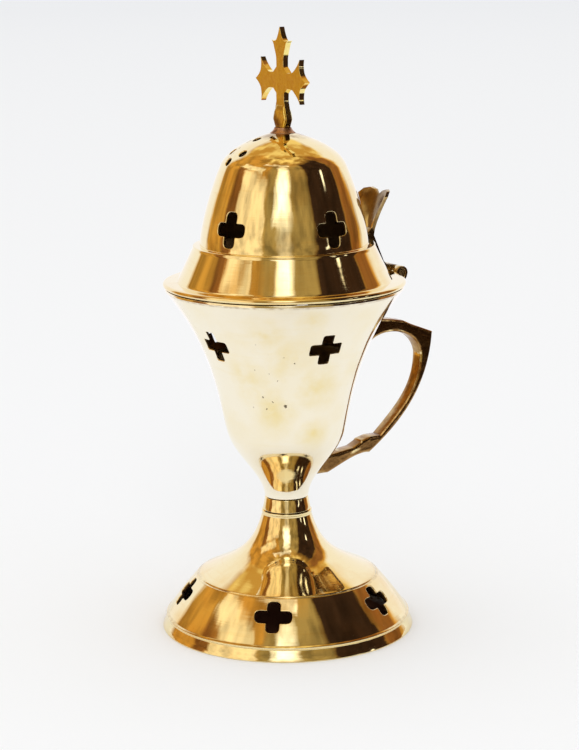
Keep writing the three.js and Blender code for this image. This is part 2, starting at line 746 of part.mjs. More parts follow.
// Hinge bracket: two knuckles on a plate that is riveted under the cup's lip
function makeBracket() {
  const low = bracketRivetHeight - bracketFoot;
  const lip = cupTop - seatGap / 2;
  const edge = [
    point(hingeX - knuckleRadius, hingeZ),
    point(hingeX - knuckleRadius, lip),
    point(cupMouthRadius - bracketTopInset, lip),
    point(hingeX - bracketFootInner, low),
    point(hingeX - bracketFootOuter, low),
    ...offsets(hingeX, hingeZ, bracketBack),
    point(hingeX, hingeZ),
  ];
  const slotFloor = hingeZ - knuckleRadius - slotGap;
  const slotDepth = 2 * hingeHalfLength;
  const slot = new THREE.BoxGeometry(slotDepth, 2 * (lidKnuckleHalf + hingeGap), slotDepth);
  slot.translate(hingeX, 0, slotFloor + slotDepth / 2);
  let bracket = upright(new THREE.Shape(edge), 2 * hingeHalfLength);
  bracket = bracket.add(hingeBar(knuckleRadius, hingeHalfLength));
  bracket = bracket.subtract(solid(slot)).subtract(cupEnvelope());
  bracket = bracket.subtract(hingeBar(pinRadius + boreGap, 2 * hingeHalfLength));
  for (const side of [-1, 1]) {
    const turn = side * bracketRivetTurn;
    const hole = wallRod(bracketRivetSeat, turn, rivetRadius + boreGap, -toolReach, rivetReach + boreGap);
    bracket = bracket.subtract(hole);
    const name = side < 0 ? 'bracket_rivet_right' : 'bracket_rivet_left';
    addPiece(name, makeRivet(bracketRivetSeat, turn), brass);
  }
  addPiece('hinge_bracket', bracket, castBrass);
  addPiece('hinge_pin', hingeBar(pinRadius, hingeHalfLength - pinShort), brass);
}

// Cross: a flat cut plate in the YZ plane on a thicker foot, with a tenon headed inside the dome
function makeCross() {
  const centre = domeTop + crossRise;
  const half = [
    ...crossFootArm.map(([down, out]) => point(out, centre - down)),
    ...crossSideArm.map(([along, out]) => point(along, centre - out)),
    ...crossSideArm.slice(0, -1).reverse().map(([along, out]) => point(along, centre + out)),
    ...crossTopArm.map(([along, out]) => point(out, centre + along)),
  ];
  const mirrored = half.slice(0, -1).reverse().map((place) => point(-place.x, place.y));
  const plate = upright(new THREE.Shape([...half, ...mirrored]), crossPlate);
  const knobRight = crossKnob.map(([down, out]) => point(out, centre - down));
  const knobLeft = knobRight.slice().reverse().map((place) => point(-place.x, place.y));
  const foot = upright(new THREE.Shape([...knobRight, ...knobLeft]), crossFootThickness, crossFootBevel);
  const headTop = domeTop - sheetWall - seatGap;
  const tenonTop = domeTop + seatGap + edgeBreak;
  const tenon = solid(standingRod(tenonRadius, headTop - tenonHeadHeight / 2, tenonTop));
  const head = solid(standingRod(tenonHeadRadius, headTop - tenonHeadHeight, headTop));
  addPiece('cross_finial', plate.add(foot).rotate([0, 0, 90]).add(tenon).add(head), goldBrass);
}

// Solder: a thin ring on the dome round the foot of the cross
function makeSolder() {
  const low = domeTop + seatGap;
  const outline = [
    point(solderInnerRadius, low),
    point(solderRadius, low - seatGap / 2),
    point(solderRadius - solderHeight, low + solderHeight / 2),
    point(solderInnerRadius, low + solderHeight),
  ];
  addPiece('solder_ring', turned(outline, middleSegments), solderMetal);
}

makeFoot();
makeCollar();
makeCup();
makeStemFixings();
makePan();
makeHandle();
makeBracket();
makeLid();
makeLever();
makeCross();
makeSolder();

// The handle reaches further from the axis than the foot does, so the axis stands forward of the middle.
pieces.position.x = (footRadius - handleReach) / 2;
const censer = new THREE.Group();
censer.add(pieces);

export default censer;
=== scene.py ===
# %% [markdown]
# A table censer in polished brass: a pierced bell foot, a flaring cup, a hinged dome with a cross, a cast
# handle and a thumb lever. The CAD model gives every piece its place and size. This lesson gives each
# piece its true surface, because bright metal shows every facet and every wrong reflection.

# %% Load the frame
import math

import bmesh
import bpy
from mathutils import Matrix, Vector


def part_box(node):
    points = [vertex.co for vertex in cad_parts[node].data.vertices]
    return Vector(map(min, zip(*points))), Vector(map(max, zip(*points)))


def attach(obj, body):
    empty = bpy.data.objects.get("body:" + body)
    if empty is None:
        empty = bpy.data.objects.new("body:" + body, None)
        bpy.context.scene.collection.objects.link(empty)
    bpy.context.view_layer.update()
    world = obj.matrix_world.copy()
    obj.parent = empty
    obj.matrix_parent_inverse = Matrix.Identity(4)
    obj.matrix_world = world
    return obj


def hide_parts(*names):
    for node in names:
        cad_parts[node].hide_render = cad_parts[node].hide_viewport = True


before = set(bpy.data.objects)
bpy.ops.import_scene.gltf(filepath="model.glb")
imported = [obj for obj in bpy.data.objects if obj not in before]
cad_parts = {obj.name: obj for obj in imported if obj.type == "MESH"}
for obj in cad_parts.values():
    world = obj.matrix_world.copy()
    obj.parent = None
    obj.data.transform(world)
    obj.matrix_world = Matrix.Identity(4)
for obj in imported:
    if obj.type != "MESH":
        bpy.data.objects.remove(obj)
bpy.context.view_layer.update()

# %% [markdown]
# The foot, the collar, the cup and the lid are turned about one axis, which stands a little in front of the
# middle of the object. All sizes below are in millimetres, measured outwards from that axis and upwards
# from the table, and a finished mesh is scaled to metres and moved to the axis once, at the end.

# %% The axis and the heights that the frame gives
MM = 0.001
collar_low, collar_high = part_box("stem_collar")
AXIS_X = (collar_low.x + collar_high.x) / 2


def heights(node):
    low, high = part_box(node)
    return low.z / MM, high.z / MM


def widest(node):
    low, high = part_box(node)
    return (high.y - low.y) / 2 / MM


foot_top = heights("foot_shell")[1]
collar_base, collar_top = heights("stem_collar")
cup_base, cup_top = heights("cup_bowl")
lid_base, dome_top = heights("lid_dome")
foot_radius = widest("foot_shell")
collar_radius = widest("stem_collar")
lid_radius = widest("lid_dome")
print("axis at x", round(AXIS_X, 4), "cup from", round(cup_base, 2), "to", round(cup_top, 2))

# %% [markdown]
# The camera comes first, because everything is compared with one view. It stands a little higher than the
# cross and 120 degrees round from the handle, so that the handle points to the right and a little away. A
# long lens keeps the sides of the foot nearly parallel.

# %% Camera
CAMERA_PLACE = (-0.35021, -0.59105, 0.22912)
CAMERA_RIGHT = (0.86296, -0.50518, -0.00957)
CAMERA_DOWN = (-0.11191, -0.17264, -0.97861)
CAMERA_AHEAD = (0.49272, 0.84557, -0.20552)

camera_data = bpy.data.cameras.new("camera")
camera_data.lens = 100.8
camera_data.sensor_width = 36.0
camera = bpy.data.objects.new("camera", camera_data)
bpy.context.scene.collection.objects.link(camera)
columns = (Vector(CAMERA_RIGHT), -Vector(CAMERA_DOWN), -Vector(CAMERA_AHEAD))
turn = Matrix([list(column) for column in columns]).transposed()
camera.matrix_world = Matrix.Translation(CAMERA_PLACE) @ turn.to_4x4()
bpy.context.scene.camera = camera
camera_azimuth = math.atan2(CAMERA_PLACE[1], CAMERA_PLACE[0] - AXIS_X)
print("camera azimuth", round(math.degrees(camera_azimuth), 1))

# %% [markdown]
# Every material is a small graph of nodes. They could be drawn by hand in the editor, but a script that says
# them in words can be read and run again. Short helpers keep the graphs readable: one adds a node and fills
# its sockets, and the others add a sum, a change of range, a noise or a mix. A value that is the same
# everywhere is set on the shader's own socket, where an export can read it.

# %% Node helpers
bpy.context.scene.view_settings.view_transform = "Standard"


def add(tree, kind, inputs=None, **settings):
    node = tree.nodes.new("ShaderNode" + kind)
    for key, value in settings.items():
        setattr(node, key, value)
    for key, value in (inputs or {}).items():
        if isinstance(value, bpy.types.NodeSocket):
            tree.links.new(value, node.inputs[key])
        else:
            node.inputs[key].default_value = value
    return node


def sum_of(tree, operation, first, second=0.0, third=None):
    inputs = {0: first, 1: second}
    if third is not None:
        inputs[2] = third
    return add(tree, "Math", inputs, operation=operation).outputs[0]


def remap(tree, value, low, high, to_low=0.0, to_high=1.0):
    """Carries a value from one range to another, and stops at the ends of it."""
    return add(tree, "MapRange", {0: value, 1: low, 2: high, 3: to_low, 4: to_high}).outputs[0]


def noise(tree, place, scale, detail):
    return add(tree, "TexNoise", {"Vector": place, "Scale": scale, "Detail": detail}).outputs["Fac"]


def mix(tree, factor, first, second, blend="MIX"):
    """Mixes two colours. Each is a socket or three numbers."""
    pair = [item if isinstance(item, bpy.types.NodeSocket) else (*item, 1.0) for item in (first, second)]
    node = add(tree, "Mix", {0: factor, 6: pair[0], 7: pair[1]}, data_type="RGBA", blend_type=blend)
    return node.outputs[2]


print("view transform", bpy.context.scene.view_settings.view_transform)


# %% [markdown]
# Brass this bright is seen by what it reflects, so the studio is planned as carefully as the metal. A ready
# picture of a room could be wrapped round the scene, but nothing in it could be moved, so this room is made
# of a few plain things. Behind the censer hangs white cloth. In front of it lies a wooden room with a brown
# ceiling: a tall window above the camera, a paper screen to the left, curtains, and an open doorway with a
# few lamps to the right. Each of them is one plain colour between two angles and two heights. Angles are in
# degrees from the camera's side, below zero to the left, and heights run from -1 underfoot to 1 overhead.
# The things were given their tones and moved about until the bright and dark bands on the metal lay roughly
# where the photograph has them. The camera and every matt surface see a plain white instead.

# %% The studio's colours and what stands in it
STUDIO = (1.02, 1.02, 1.10)
WOOD = (0.64, 0.34, 0.07)
SHADE = (0.26, 0.10, 0.03)
PAPER = (1.15, 0.96, 0.66)
CURTAIN = (0.36, 0.27, 0.11)
DOORWAY = (0.04, 0.02, 0.012)
WINDOW = (2.1, 2.05, 1.9)
CEILING = (0.62, 0.35, 0.08)
LIT_CEILING = (1.0, 0.78, 0.32)
WHITE = (0.945, 0.950, 0.958)
CLOTH_BEGINS = (127, 135)
CLOTH_ENDS = (0.66, 0.74)
CEILING_BEGINS = (0.92, 0.96)
# Each thing has its colour, its sides in degrees, its heights, how soft its edges are, and its strength.
FURNITURE = {
    "shelf": (SHADE, (-97, -79), (-1.0, 0.60), 0.05, 0.9),
    "paper screen": (PAPER, (-79, -30), (-1.0, 0.57), 0.03, 0.9),
    "curtains": (CURTAIN, (-30, 46), (-1.0, 0.90), 0.06, 0.9),
    "doorway": (DOORWAY, (44, 105), (-1.0, 0.92), 0.06, 1.0),
    "door frame": (SHADE, (105, 124), (-1.0, 0.92), 0.04, 0.9),
    "paper on the shelf": (PAPER, (-99, -42), (0.60, 0.76), 0.02, 1.0),
    "window": (WINDOW, (-13, 10), (0.38, 0.82), 0.07, 1.0),
    "window's foot": (WINDOW, (-8, 8), (-0.40, 0.40), 0.07, 0.22),
    "skylight": (WINDOW, (-60, 20), (0.885, 0.91), 0.02, 0.8),
    "lamp in the doorway": (WINDOW, (62, 66), (0.06, 0.18), 0.015, 1.0),
    "lamp behind it": (WINDOW, (82, 86), (0.12, 0.20), 0.015, 1.0),
    "lamp over the door": (WINDOW, (74, 78), (0.42, 0.52), 0.015, 0.9),
}

print("things in the room", len(FURNITURE))

# %% [markdown]
# A world gets one colour for each direction. The direction is turned into an angle from the camera's side and
# a height, and both are shaken by a slow and a ragged noise, because a ruled edge in a reflection looks
# false. Each thing is then a soft box between its angles and its heights, laid over the wall in turn.

# %% World: where a direction lies
world = bpy.data.worlds.new("studio")
world.use_nodes = True
bpy.context.scene.world = world
tree = world.node_tree
tree.nodes.clear()
direction = add(tree, "TexCoord").outputs["Generated"]


def swing(tree, scale, detail, size):
    """A noise over the sky that swings about zero by half of the size."""
    about_zero = sum_of(tree, "SUBTRACT", noise(tree, direction, scale, detail), 0.5)
    return sum_of(tree, "MULTIPLY", about_zero, size)


slow = swing(tree, scale=2.2, detail=2.0, size=0.14)
ragged_edge = swing(tree, scale=7.0, detail=5.0, size=0.24)
split = add(tree, "SeparateXYZ", {0: direction})
azimuth = sum_of(tree, "ARCTAN2", split.outputs[1], split.outputs[0])
from_camera = sum_of(tree, "SUBTRACT", azimuth, camera_azimuth)
from_camera = sum_of(tree, "ADD", from_camera, sum_of(tree, "ADD", slow, ragged_edge))
side = sum_of(tree, "WRAP", from_camera, math.pi, -math.pi)
sky = sum_of(tree, "ADD", split.outputs[2], sum_of(tree, "MULTIPLY", ragged_edge, 0.5))
print("nodes that find a direction", len(tree.nodes))

# %% World: the wooden room in front
MOTTLE_SHADES = (0.62, 1.18)


def soft_box(tree, value, low, high, edge):
    """1 between two values, with soft edges."""
    rise = remap(tree, value, low - edge, low + edge)
    fall = remap(tree, value, high - edge, high + edge, 1.0, 0.0)
    return sum_of(tree, "MULTIPLY", rise, fall)


room = WOOD
for colour, sides, rise, edge, strength in FURNITURE.values():
    across = soft_box(tree, side, math.radians(sides[0]), math.radians(sides[1]), edge)
    upwards = soft_box(tree, sky, rise[0], rise[1], edge)
    mask = sum_of(tree, "MULTIPLY", sum_of(tree, "MULTIPLY", across, upwards), strength)
    room = mix(tree, mask, room, colour)
mottle = noise(tree, direction, 5.0, 5.0)
ceiling = mix(tree, remap(tree, mottle, 0.42, 0.60), CEILING, LIT_CEILING)
room = mix(tree, remap(tree, sky, *CEILING_BEGINS), room, ceiling)
shade = remap(tree, mottle, 0.36, 0.62, *MOTTLE_SHADES)
room = mix(tree, 1.0, room, add(tree, "CombineColor", {0: shade, 1: shade, 2: shade}).outputs[0], "MULTIPLY")
print("nodes with the room", len(tree.nodes))

# %% World: the white studio behind, and who sees what
to_the_side = sum_of(tree, "ABSOLUTE", side)
behind = remap(tree, to_the_side, math.radians(CLOTH_BEGINS[0]), math.radians(CLOTH_BEGINS[1]))
beneath_ceiling = remap(tree, sky, *CLOTH_ENDS, 1.0, 0.0)
room = mix(tree, behind, room, ceiling)
room = mix(tree, sum_of(tree, "MULTIPLY", behind, beneath_ceiling), room, STUDIO)
seen_in_metal = add(tree, "Background", {0: room, 1: 1.0}).outputs[0]
plain_white = add(tree, "Background", {0: (*WHITE, 1.0), 1: 1.0}).outputs[0]
glossy = add(tree, "LightPath").outputs["Is Glossy Ray"]
shown = add(tree, "MixShader", {0: glossy, 1: plain_white, 2: seen_in_metal}).outputs[0]
add(tree, "OutputWorld", {0: shown})
print("nodes in the world", len(tree.nodes))

# %% [markdown]
# The floor is a wide plain sheet, a little darker far away, so that it fades into the background. In the
# metal it ends 25 to 30 cm away, as a small table does, because upright metal shows the dark room and not a
# white floor. Inside the foot, where only dim brown light falls, it is painted brown: a painted shadow.

# %% Floor
FLOOR_REACH = 12.0
FLOOR_SIDES = 96
FLOOR_NEAR = (0.965, 0.963, 0.960)
FLOOR_FAR = (0.895, 0.90, 0.91)
FLOOR_FADES = (0.1, 6.0)
# Brown painted shadow for the floor inside the foot.
UNDER_FOOT_SHADE = (0.22, 0.09, 0.05)
UNDER_FOOT_ENDS = (0.036, 0.040)
TABLE_END = (0.25, 0.30)


def ramp(tree, factor, stops):
    node = add(tree, "ValToRGB", {0: factor})
    elements = node.color_ramp.elements
    elements.remove(elements[1])
    elements[0].position = stops[0][0]
    elements[0].color = (*stops[0][1], 1.0)
    for position, colour in stops[1:]:
        elements.new(position).color = (*colour, 1.0)
    return node.outputs[0]


def new_material(name, sockets):
    """A material with one shader, whose plain values are set on its own sockets."""
    material = bpy.data.materials.new(name)
    material.use_nodes = True
    tree = material.node_tree
    shader = tree.nodes["Principled BSDF"]
    for key, value in sockets.items():
        shader.inputs[key].default_value = value
    return material, tree, shader


def floor_material():
    material, tree, shader = new_material("white_floor", {"Roughness": 1.0, "Specular IOR Level": 0.0})
    place = add(tree, "TexCoord").outputs["Object"]
    distance = add(tree, "VectorMath", {0: place}, operation="LENGTH").outputs["Value"]
    colour = ramp(tree, remap(tree, distance, *FLOOR_FADES), [(0.0, FLOOR_NEAR), (1.0, FLOOR_FAR)])
    from_axis = add(tree, "VectorMath", {0: place, 1: (AXIS_X, 0, 0)}, operation="DISTANCE").outputs["Value"]
    # Painted shadow: the floor inside the foot's rim is brown.
    colour = mix(tree, remap(tree, from_axis, *UNDER_FOOT_ENDS, 1.0, 0.0), colour, UNDER_FOOT_SHADE)
    tree.links.new(colour, shader.inputs["Base Color"])
    past_the_table = remap(tree, distance, *TABLE_END)
    gone = sum_of(tree, "MULTIPLY", past_the_table, add(tree, "LightPath").outputs["Is Glossy Ray"])
    clear = add(tree, "BsdfTransparent").outputs[0]
    surface = add(tree, "MixShader", {0: gone, 1: shader.outputs[0], 2: clear}).outputs[0]
    tree.links.new(surface, tree.nodes["Material Output"].inputs["Surface"])
    return material


def make_floor():
    bm = bmesh.new()
    bmesh.ops.create_circle(bm, cap_ends=True, segments=FLOOR_SIDES, radius=FLOOR_REACH)
    mesh = bpy.data.meshes.new("floor")
    bm.to_mesh(mesh)
    bm.free()
    mesh.materials.append(floor_material())
    floor = bpy.data.objects.new("floor", mesh)
    bpy.context.scene.collection.objects.link(floor)


make_floor()
print("floor", FLOOR_REACH, "m in radius")

# %% [markdown]
# The white world alone would light the floor from all sides, and the censer would seem to float. One soft,
# weak lamp near the camera adds the faint shadow that sets it down. The metal doesn't see this lamp.

# %% Lamp
LAMP_AIM = (AXIS_X, 0, 0.12)


def make_lamp(name, offset_degrees, elevation_degrees, distance, size, power):
    data = bpy.data.lights.new(name, "AREA")
    data.shape = "RECTANGLE"
    data.size, data.size_y = size
    data.energy = power
    lamp = bpy.data.objects.new(name, data)
    bpy.context.scene.collection.objects.link(lamp)
    azimuth = camera_azimuth + math.radians(offset_degrees)
    lift = math.radians(elevation_degrees)
    away = Vector((math.cos(azimuth) * math.cos(lift), math.sin(azimuth) * math.cos(lift), math.sin(lift)))
    lamp.location = Vector(LAMP_AIM) + away * distance
    lamp.rotation_euler = away.to_track_quat("Z", "Y").to_euler()
    lamp.visible_camera = False
    lamp.visible_glossy = False


make_lamp("window", offset_degrees=4, elevation_degrees=30, distance=1.3, size=(0.30, 0.55), power=1.6)
print("lamps", len(bpy.data.lights))

# %% [markdown]
# A turned piece starts as half of its outline. Curves are Bezier curves given by their ends and by how far
# their handles reach. They could be typed as long lists of points, but four corners are easier to fit. Each
# hard corner is softened by a few points, since no spun edge is knife sharp.

# %% Outline helpers
CORNER_STEPS = 4


def curve(start, pulls, end, steps):
    (a, b), (c, d) = pulls
    corners = [start, (start[0] + a, start[1] + b), (end[0] + c, end[1] + d), end]
    points = []
    for i in range(steps + 1):
        t = i / steps
        weights = ((1 - t) ** 3, 3 * t * (1 - t) ** 2, 3 * t * t * (1 - t), t ** 3)
        points.append(tuple(sum(w * p[k] for w, p in zip(weights, corners)) for k in range(2)))
    return points


def quadratic(start, middle, end, steps):
    pulls = [tuple((middle[k] - place[k]) * 2 / 3 for k in range(2)) for place in (start, end)]
    return curve(start, pulls, end, steps)


def soften(corners, closed=False):
    """Rounds each corner (x, y, radius) of an outline with a short curve. The radius may be left out."""
    points = []
    count = len(corners)
    for i, corner in enumerate(corners):
        here = Vector(corner[:2])
        radius = corner[2] if len(corner) > 2 else 0
        if radius == 0 or (not closed and i in (0, count - 1)):
            points.append(tuple(here))
            continue
        before = Vector(corners[i - 1][:2]) - here
        after = Vector(corners[(i + 1) % count][:2]) - here
        opening = before.angle(after)
        reach = min(radius / math.tan(opening / 2), before.length / 2, after.length / 2)
        first, last = here + before.normalized() * reach, here + after.normalized() * reach
        for k in range(CORNER_STEPS + 1):
            t = k / CORNER_STEPS
            place = first * (1 - t) ** 2 + here * 2 * t * (1 - t) + last * t * t
            points.append(tuple(place))
    return points


def shifted(points, distance):
    """Moves an outline that climbs the outside of a wall towards the axis, square to itself."""
    moved = []
    for i, here in enumerate(points):
        before, after = points[max(i - 1, 0)], points[min(i + 1, len(points) - 1)]
        along = (Vector(after) - Vector(before)).normalized()
        moved.append((here[0] - along.y * distance, here[1] + along.x * distance))
    return moved


# %% [markdown]
# A finished piece is put in the scene by one function. It scales the mesh to metres, sets it on the axis,
# gives it its material, hangs it on its named body, hides the CAD nodes that it stands for, and keeps the
# true normals where they are known. Bright metal needs them: an averaged normal beside a hole would show as a
# dent.

# %% Putting a piece in place
MERGE = 1e-4


def to_mesh(bm, name):
    normals = bm.verts.layers.float_vector.get("true_normal")
    known = [tuple(v[normals]) for v in bm.verts] if normals else None
    mesh = bpy.data.meshes.new(name)
    bm.to_mesh(mesh)
    bm.free()
    mesh.transform(Matrix.Translation((AXIS_X, 0, 0)) @ Matrix.Scale(MM, 4))
    mesh.shade_smooth()
    if known:
        mesh.normals_split_custom_set_from_vertices(known)
        mesh.attributes.remove(mesh.attributes["true_normal"])
    return mesh


def settle(bm, name, body, material, nodes):
    mesh = to_mesh(bm, name)
    mesh.materials.append(material)
    piece = bpy.data.objects.new(name, mesh)
    bpy.context.scene.collection.objects.link(piece)
    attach(piece, body)
    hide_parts(*nodes)
    print(name, "faces", len(mesh.polygons))
    return piece


# %% [markdown]
# Spinning the outline makes the plain parts of a turned piece. The number of steps is the same everywhere,
# so that a plain part meets a pierced wall point for point. An operator looks at the whole mesh each time
# it runs, so each part is made in a small mesh of its own, and then joined to the piece.

# %% Spinning
COLUMNS = 240


def join(bm, part):
    """Moves a part into the piece's mesh."""
    mesh = bpy.data.meshes.new("part")
    part.to_mesh(mesh)
    part.free()
    bm.from_mesh(mesh)
    bpy.data.meshes.remove(mesh)


def spin(bm, outline, start=0.0, closed=False):
    """Turns an outline of (radius, height) once round the axis, from a start angle in degrees."""
    points = list(outline) + ([outline[0]] if closed else [])
    part = bmesh.new()
    ring = [part.verts.new((radius, 0, height)) for radius, height in points]
    edges = [part.edges.new(pair) for pair in zip(ring, ring[1:])]
    turned = Matrix.Rotation(math.radians(start), 4, "Z")
    bmesh.ops.transform(part, matrix=turned, verts=ring)
    bmesh.ops.spin(part, geom=ring + edges, cent=(0, 0, 0), axis=(0, 0, 1), angle=2 * math.pi,
                   steps=COLUMNS, use_merge=True)
    join(bm, part)


def tidy(bm):
    """Joins the parts of a piece. Where a plain part meets a wall, the wall's points and normals stay."""
    normals = bm.verts.layers.float_vector.get("true_normal")
    if normals:
        wall_points = [vert for vert in bm.verts if vert[normals].length > 0]
        doubles = bmesh.ops.find_doubles(bm, verts=bm.verts, keep_verts=wall_points, dist=MERGE)
        bmesh.ops.weld_verts(bm, targetmap=doubles["targetmap"])
    bmesh.ops.remove_doubles(bm, verts=bm.verts, dist=MERGE)
    bmesh.ops.dissolve_degenerate(bm, edges=bm.edges, dist=MERGE / 10)
    bmesh.ops.recalc_face_normals(bm, faces=bm.faces)


# %% [markdown]
# The foot, the cup and the dome are pierced with crosses. A hole cut through a finished curved mesh leaves
# ragged slivers, so each wall is made flat first, as if it were still sheet: a grid as long as the wall is
# round, and as high as its outline is long. A window is opened in the grid for each hole, the outline of
# the hole is drawn in it with a rounded edge on both faces, and the rest of the window is filled. Then the
# sheet is bent round: its length becomes the angle, its height follows the outline, and its depth goes
# inwards. To do that, the script has to know what lies at each length along the outline.

# %% Following an outline
def arc_lengths(path):
    total = [0.0]
    for a, b in zip(path, path[1:]):
        total.append(total[-1] + math.dist(a, b))
    return total


def follow(path, lengths, along):
    """The place at a length along an outline, its direction there and its outward normal."""
    along = min(max(along, 0.0), lengths[-1])
    low = 0
    high = len(lengths) - 1
    while high - low > 1:
        middle = (low + high) // 2
        if lengths[middle] > along:
            high = middle
        else:
            low = middle
    part = (along - lengths[low]) / (lengths[high] - lengths[low])
    place = Vector(path[low]).lerp(Vector(path[high]), part)
    tangents = []
    for i in (low, high):
        before, after = path[max(i - 1, 0)], path[min(i + 1, len(path) - 1)]
        tangents.append((Vector(after) - Vector(before)).normalized())
    tangent = tangents[0].lerp(tangents[1], part).normalized()
    return place, tangent, Vector((tangent.y, -tangent.x))


def length_at(path, lengths, key, value):
    """How far along an outline it passes a radius (key 0) or a height (key 1)."""
    for i, (a, b) in enumerate(zip(path, path[1:])):
        if min(a[key], b[key]) <= value <= max(a[key], b[key]):
            part = (value - a[key]) / (b[key] - a[key])
            return lengths[i] + part * (lengths[i + 1] - lengths[i])
    raise ValueError("the outline does not pass there")


# %% [markdown]
# The crosses were sawn and filed, so the edge of a hole is slightly rounded on both faces. The side of a hole
# is a stack of rings: copies of its outline, each a little wider the nearer it lies to a face.

# %% The side of a hole
EDGE_ROUND = 0.28
EDGE_STEPS = 3


def grown(outline, distance):
    """Moves a closed outline outwards, square to itself. The outline runs counterclockwise."""
    moved = []
    count = len(outline)
    for i, here in enumerate(outline):
        along = (Vector(outline[(i + 1) % count]) - Vector(outline[i - 1])).normalized()
        moved.append((here[0] + along.y * distance, here[1] - along.x * distance))
    return moved


def edge_rings(outline, wall):
    """The rings of points down the side of a hole: rounded, straight and rounded again."""
    rings = []
    for side in (0, 1):
        for k in range(EDGE_STEPS + 1):
            angle = math.pi / 2 * (k if side == 0 else EDGE_STEPS - k) / EDGE_STEPS
            out = EDGE_ROUND * (1 - math.sin(angle))
            deep = EDGE_ROUND * (1 - math.cos(angle))
            rings.append((grown(outline, out), -deep if side == 0 else deep - wall))
    return rings


def closed_loop(bm, points):
    ring = [bm.verts.new(point) for point in points]
    return [bm.edges.new(pair) for pair in zip(ring, ring[1:] + ring[:1])]


# %% [markdown]
# The sheet around a hole is a rectangle of its own. Its border has the same points as the grid, so that it
# fits back in. The ring between the border and the hole is filled with triangles, and then cut along the
# lines of the grid, so that it bends as smoothly as the grid does. Seen from outside, the sheet is drawn at
# the scale of one radius, and each hole is stretched to come out true where the wall is narrower or wider.

# %% A window in the sheet
FLAT_RADIUS = 30.0


def steps_between(low, high, spacing):
    count = round((high - low) / spacing)
    return [low + (high - low) * i / count for i in range(count + 1)]


def make_window(window, holes, wall, path, lengths, spacing):
    """A rectangle of flat sheet with holes in it, divided along the lines of the grid around it."""
    left, right, low, high = window
    across = steps_between(left, right, spacing[0])
    upwards = steps_between(low, high, spacing[1])
    border = [(x, low) for x in across[:-1]] + [(right, y) for y in upwards[:-1]]
    border += [(x, high) for x in across[:0:-1]] + [(left, y) for y in upwards[:0:-1]]
    bm = bmesh.new()
    rims = {depth: closed_loop(bm, [(x, y, depth) for x, y in border]) for depth in (0.0, -wall)}
    for centre_x, centre_y, outline in holes:
        loops = []
        for points, depth in edge_rings(outline, wall):
            stretched = []
            for x, y in points:
                radius = follow(path, lengths, centre_y + y)[0].x
                stretched.append((centre_x + x * FLAT_RADIUS / radius, centre_y + y, depth))
            loops.append(closed_loop(bm, stretched))
        rims[0.0] += loops[0]
        rims[-wall] += loops[-1]
        for upper, lower in zip(loops, loops[1:]):
            bmesh.ops.bridge_loops(bm, edges=upper + lower)
    for edges in rims.values():
        bmesh.ops.triangle_fill(bm, use_beauty=True, use_dissolve=False, edges=edges, normal=(0, 0, 1))
    bmesh.ops.recalc_face_normals(bm, faces=bm.faces)
    front = [face for face in bm.faces if min(vert.co.z for vert in face.verts) > -MERGE]
    if front[0].normal.z < 0:
        bmesh.ops.reverse_faces(bm, faces=bm.faces)
    lines = [(Vector((x, 0, 0)), Vector((1, 0, 0))) for x in across[1:-1]]
    lines += [(Vector((0, y, 0)), Vector((0, 1, 0))) for y in upwards[1:-1]]
    for place, facing in lines:
        bmesh.ops.bisect_plane(bm, geom=bm.verts[:] + bm.edges[:] + bm.faces[:], dist=MERGE,
                               plane_co=place, plane_no=facing)
    return bm


# %% [markdown]
# Bending moves a point of the sheet to its angle about the axis and to its place on the outline. The way that
# each point faces is known on the flat sheet, and it is bent round with it. The points also keep how deep
# they lie in the wall, as cut_side, because the wheel never reached the sides of the holes.

# %% Bending the sheet
def bend_round(bm, path, lengths, wall, start):
    """Bends the flat sheet round the axis, and keeps each point's true normal and how deep it lies."""
    layer = bm.verts.layers.float_vector.new("true_normal")
    cut = bm.verts.layers.float.new("cut_side")
    bm.normal_update()
    flat = {}
    for vert in bm.verts:
        if abs(vert.co.z) < MERGE:
            flat[vert] = Vector((0, 0, 1))
        elif abs(vert.co.z + wall) < MERGE:
            flat[vert] = Vector((0, 0, -1))
        else:
            flat[vert] = sum((face.normal for face in vert.link_faces), Vector()).normalized()
    for vert, normal in flat.items():
        x, y, depth = vert.co
        vert[cut] = min(-depth / EDGE_ROUND, 1.0)
        place, tangent, outward = follow(path, lengths, y)
        angle = math.radians(start) + x / FLAT_RADIUS
        radial = Vector((math.cos(angle), math.sin(angle), 0))
        around = Vector((-math.sin(angle), math.cos(angle), 0))
        up = radial * tangent.x + Vector((0, 0, tangent.y))
        out = radial * outward.x + Vector((0, 0, outward.y))
        vert.co = radial * place.x + Vector((0, 0, place.y)) + out * depth
        vert[layer] = around * normal.x + up * normal.y + out * normal.z


# %% [markdown]
# The wall is a grid for the outside and a copy of it for the inside, with a window for each hole. It has as
# many columns as the spinning has steps, so that a rim or a neck can be spun on to it afterwards.

# %% A pierced wall
ROW = 0.9


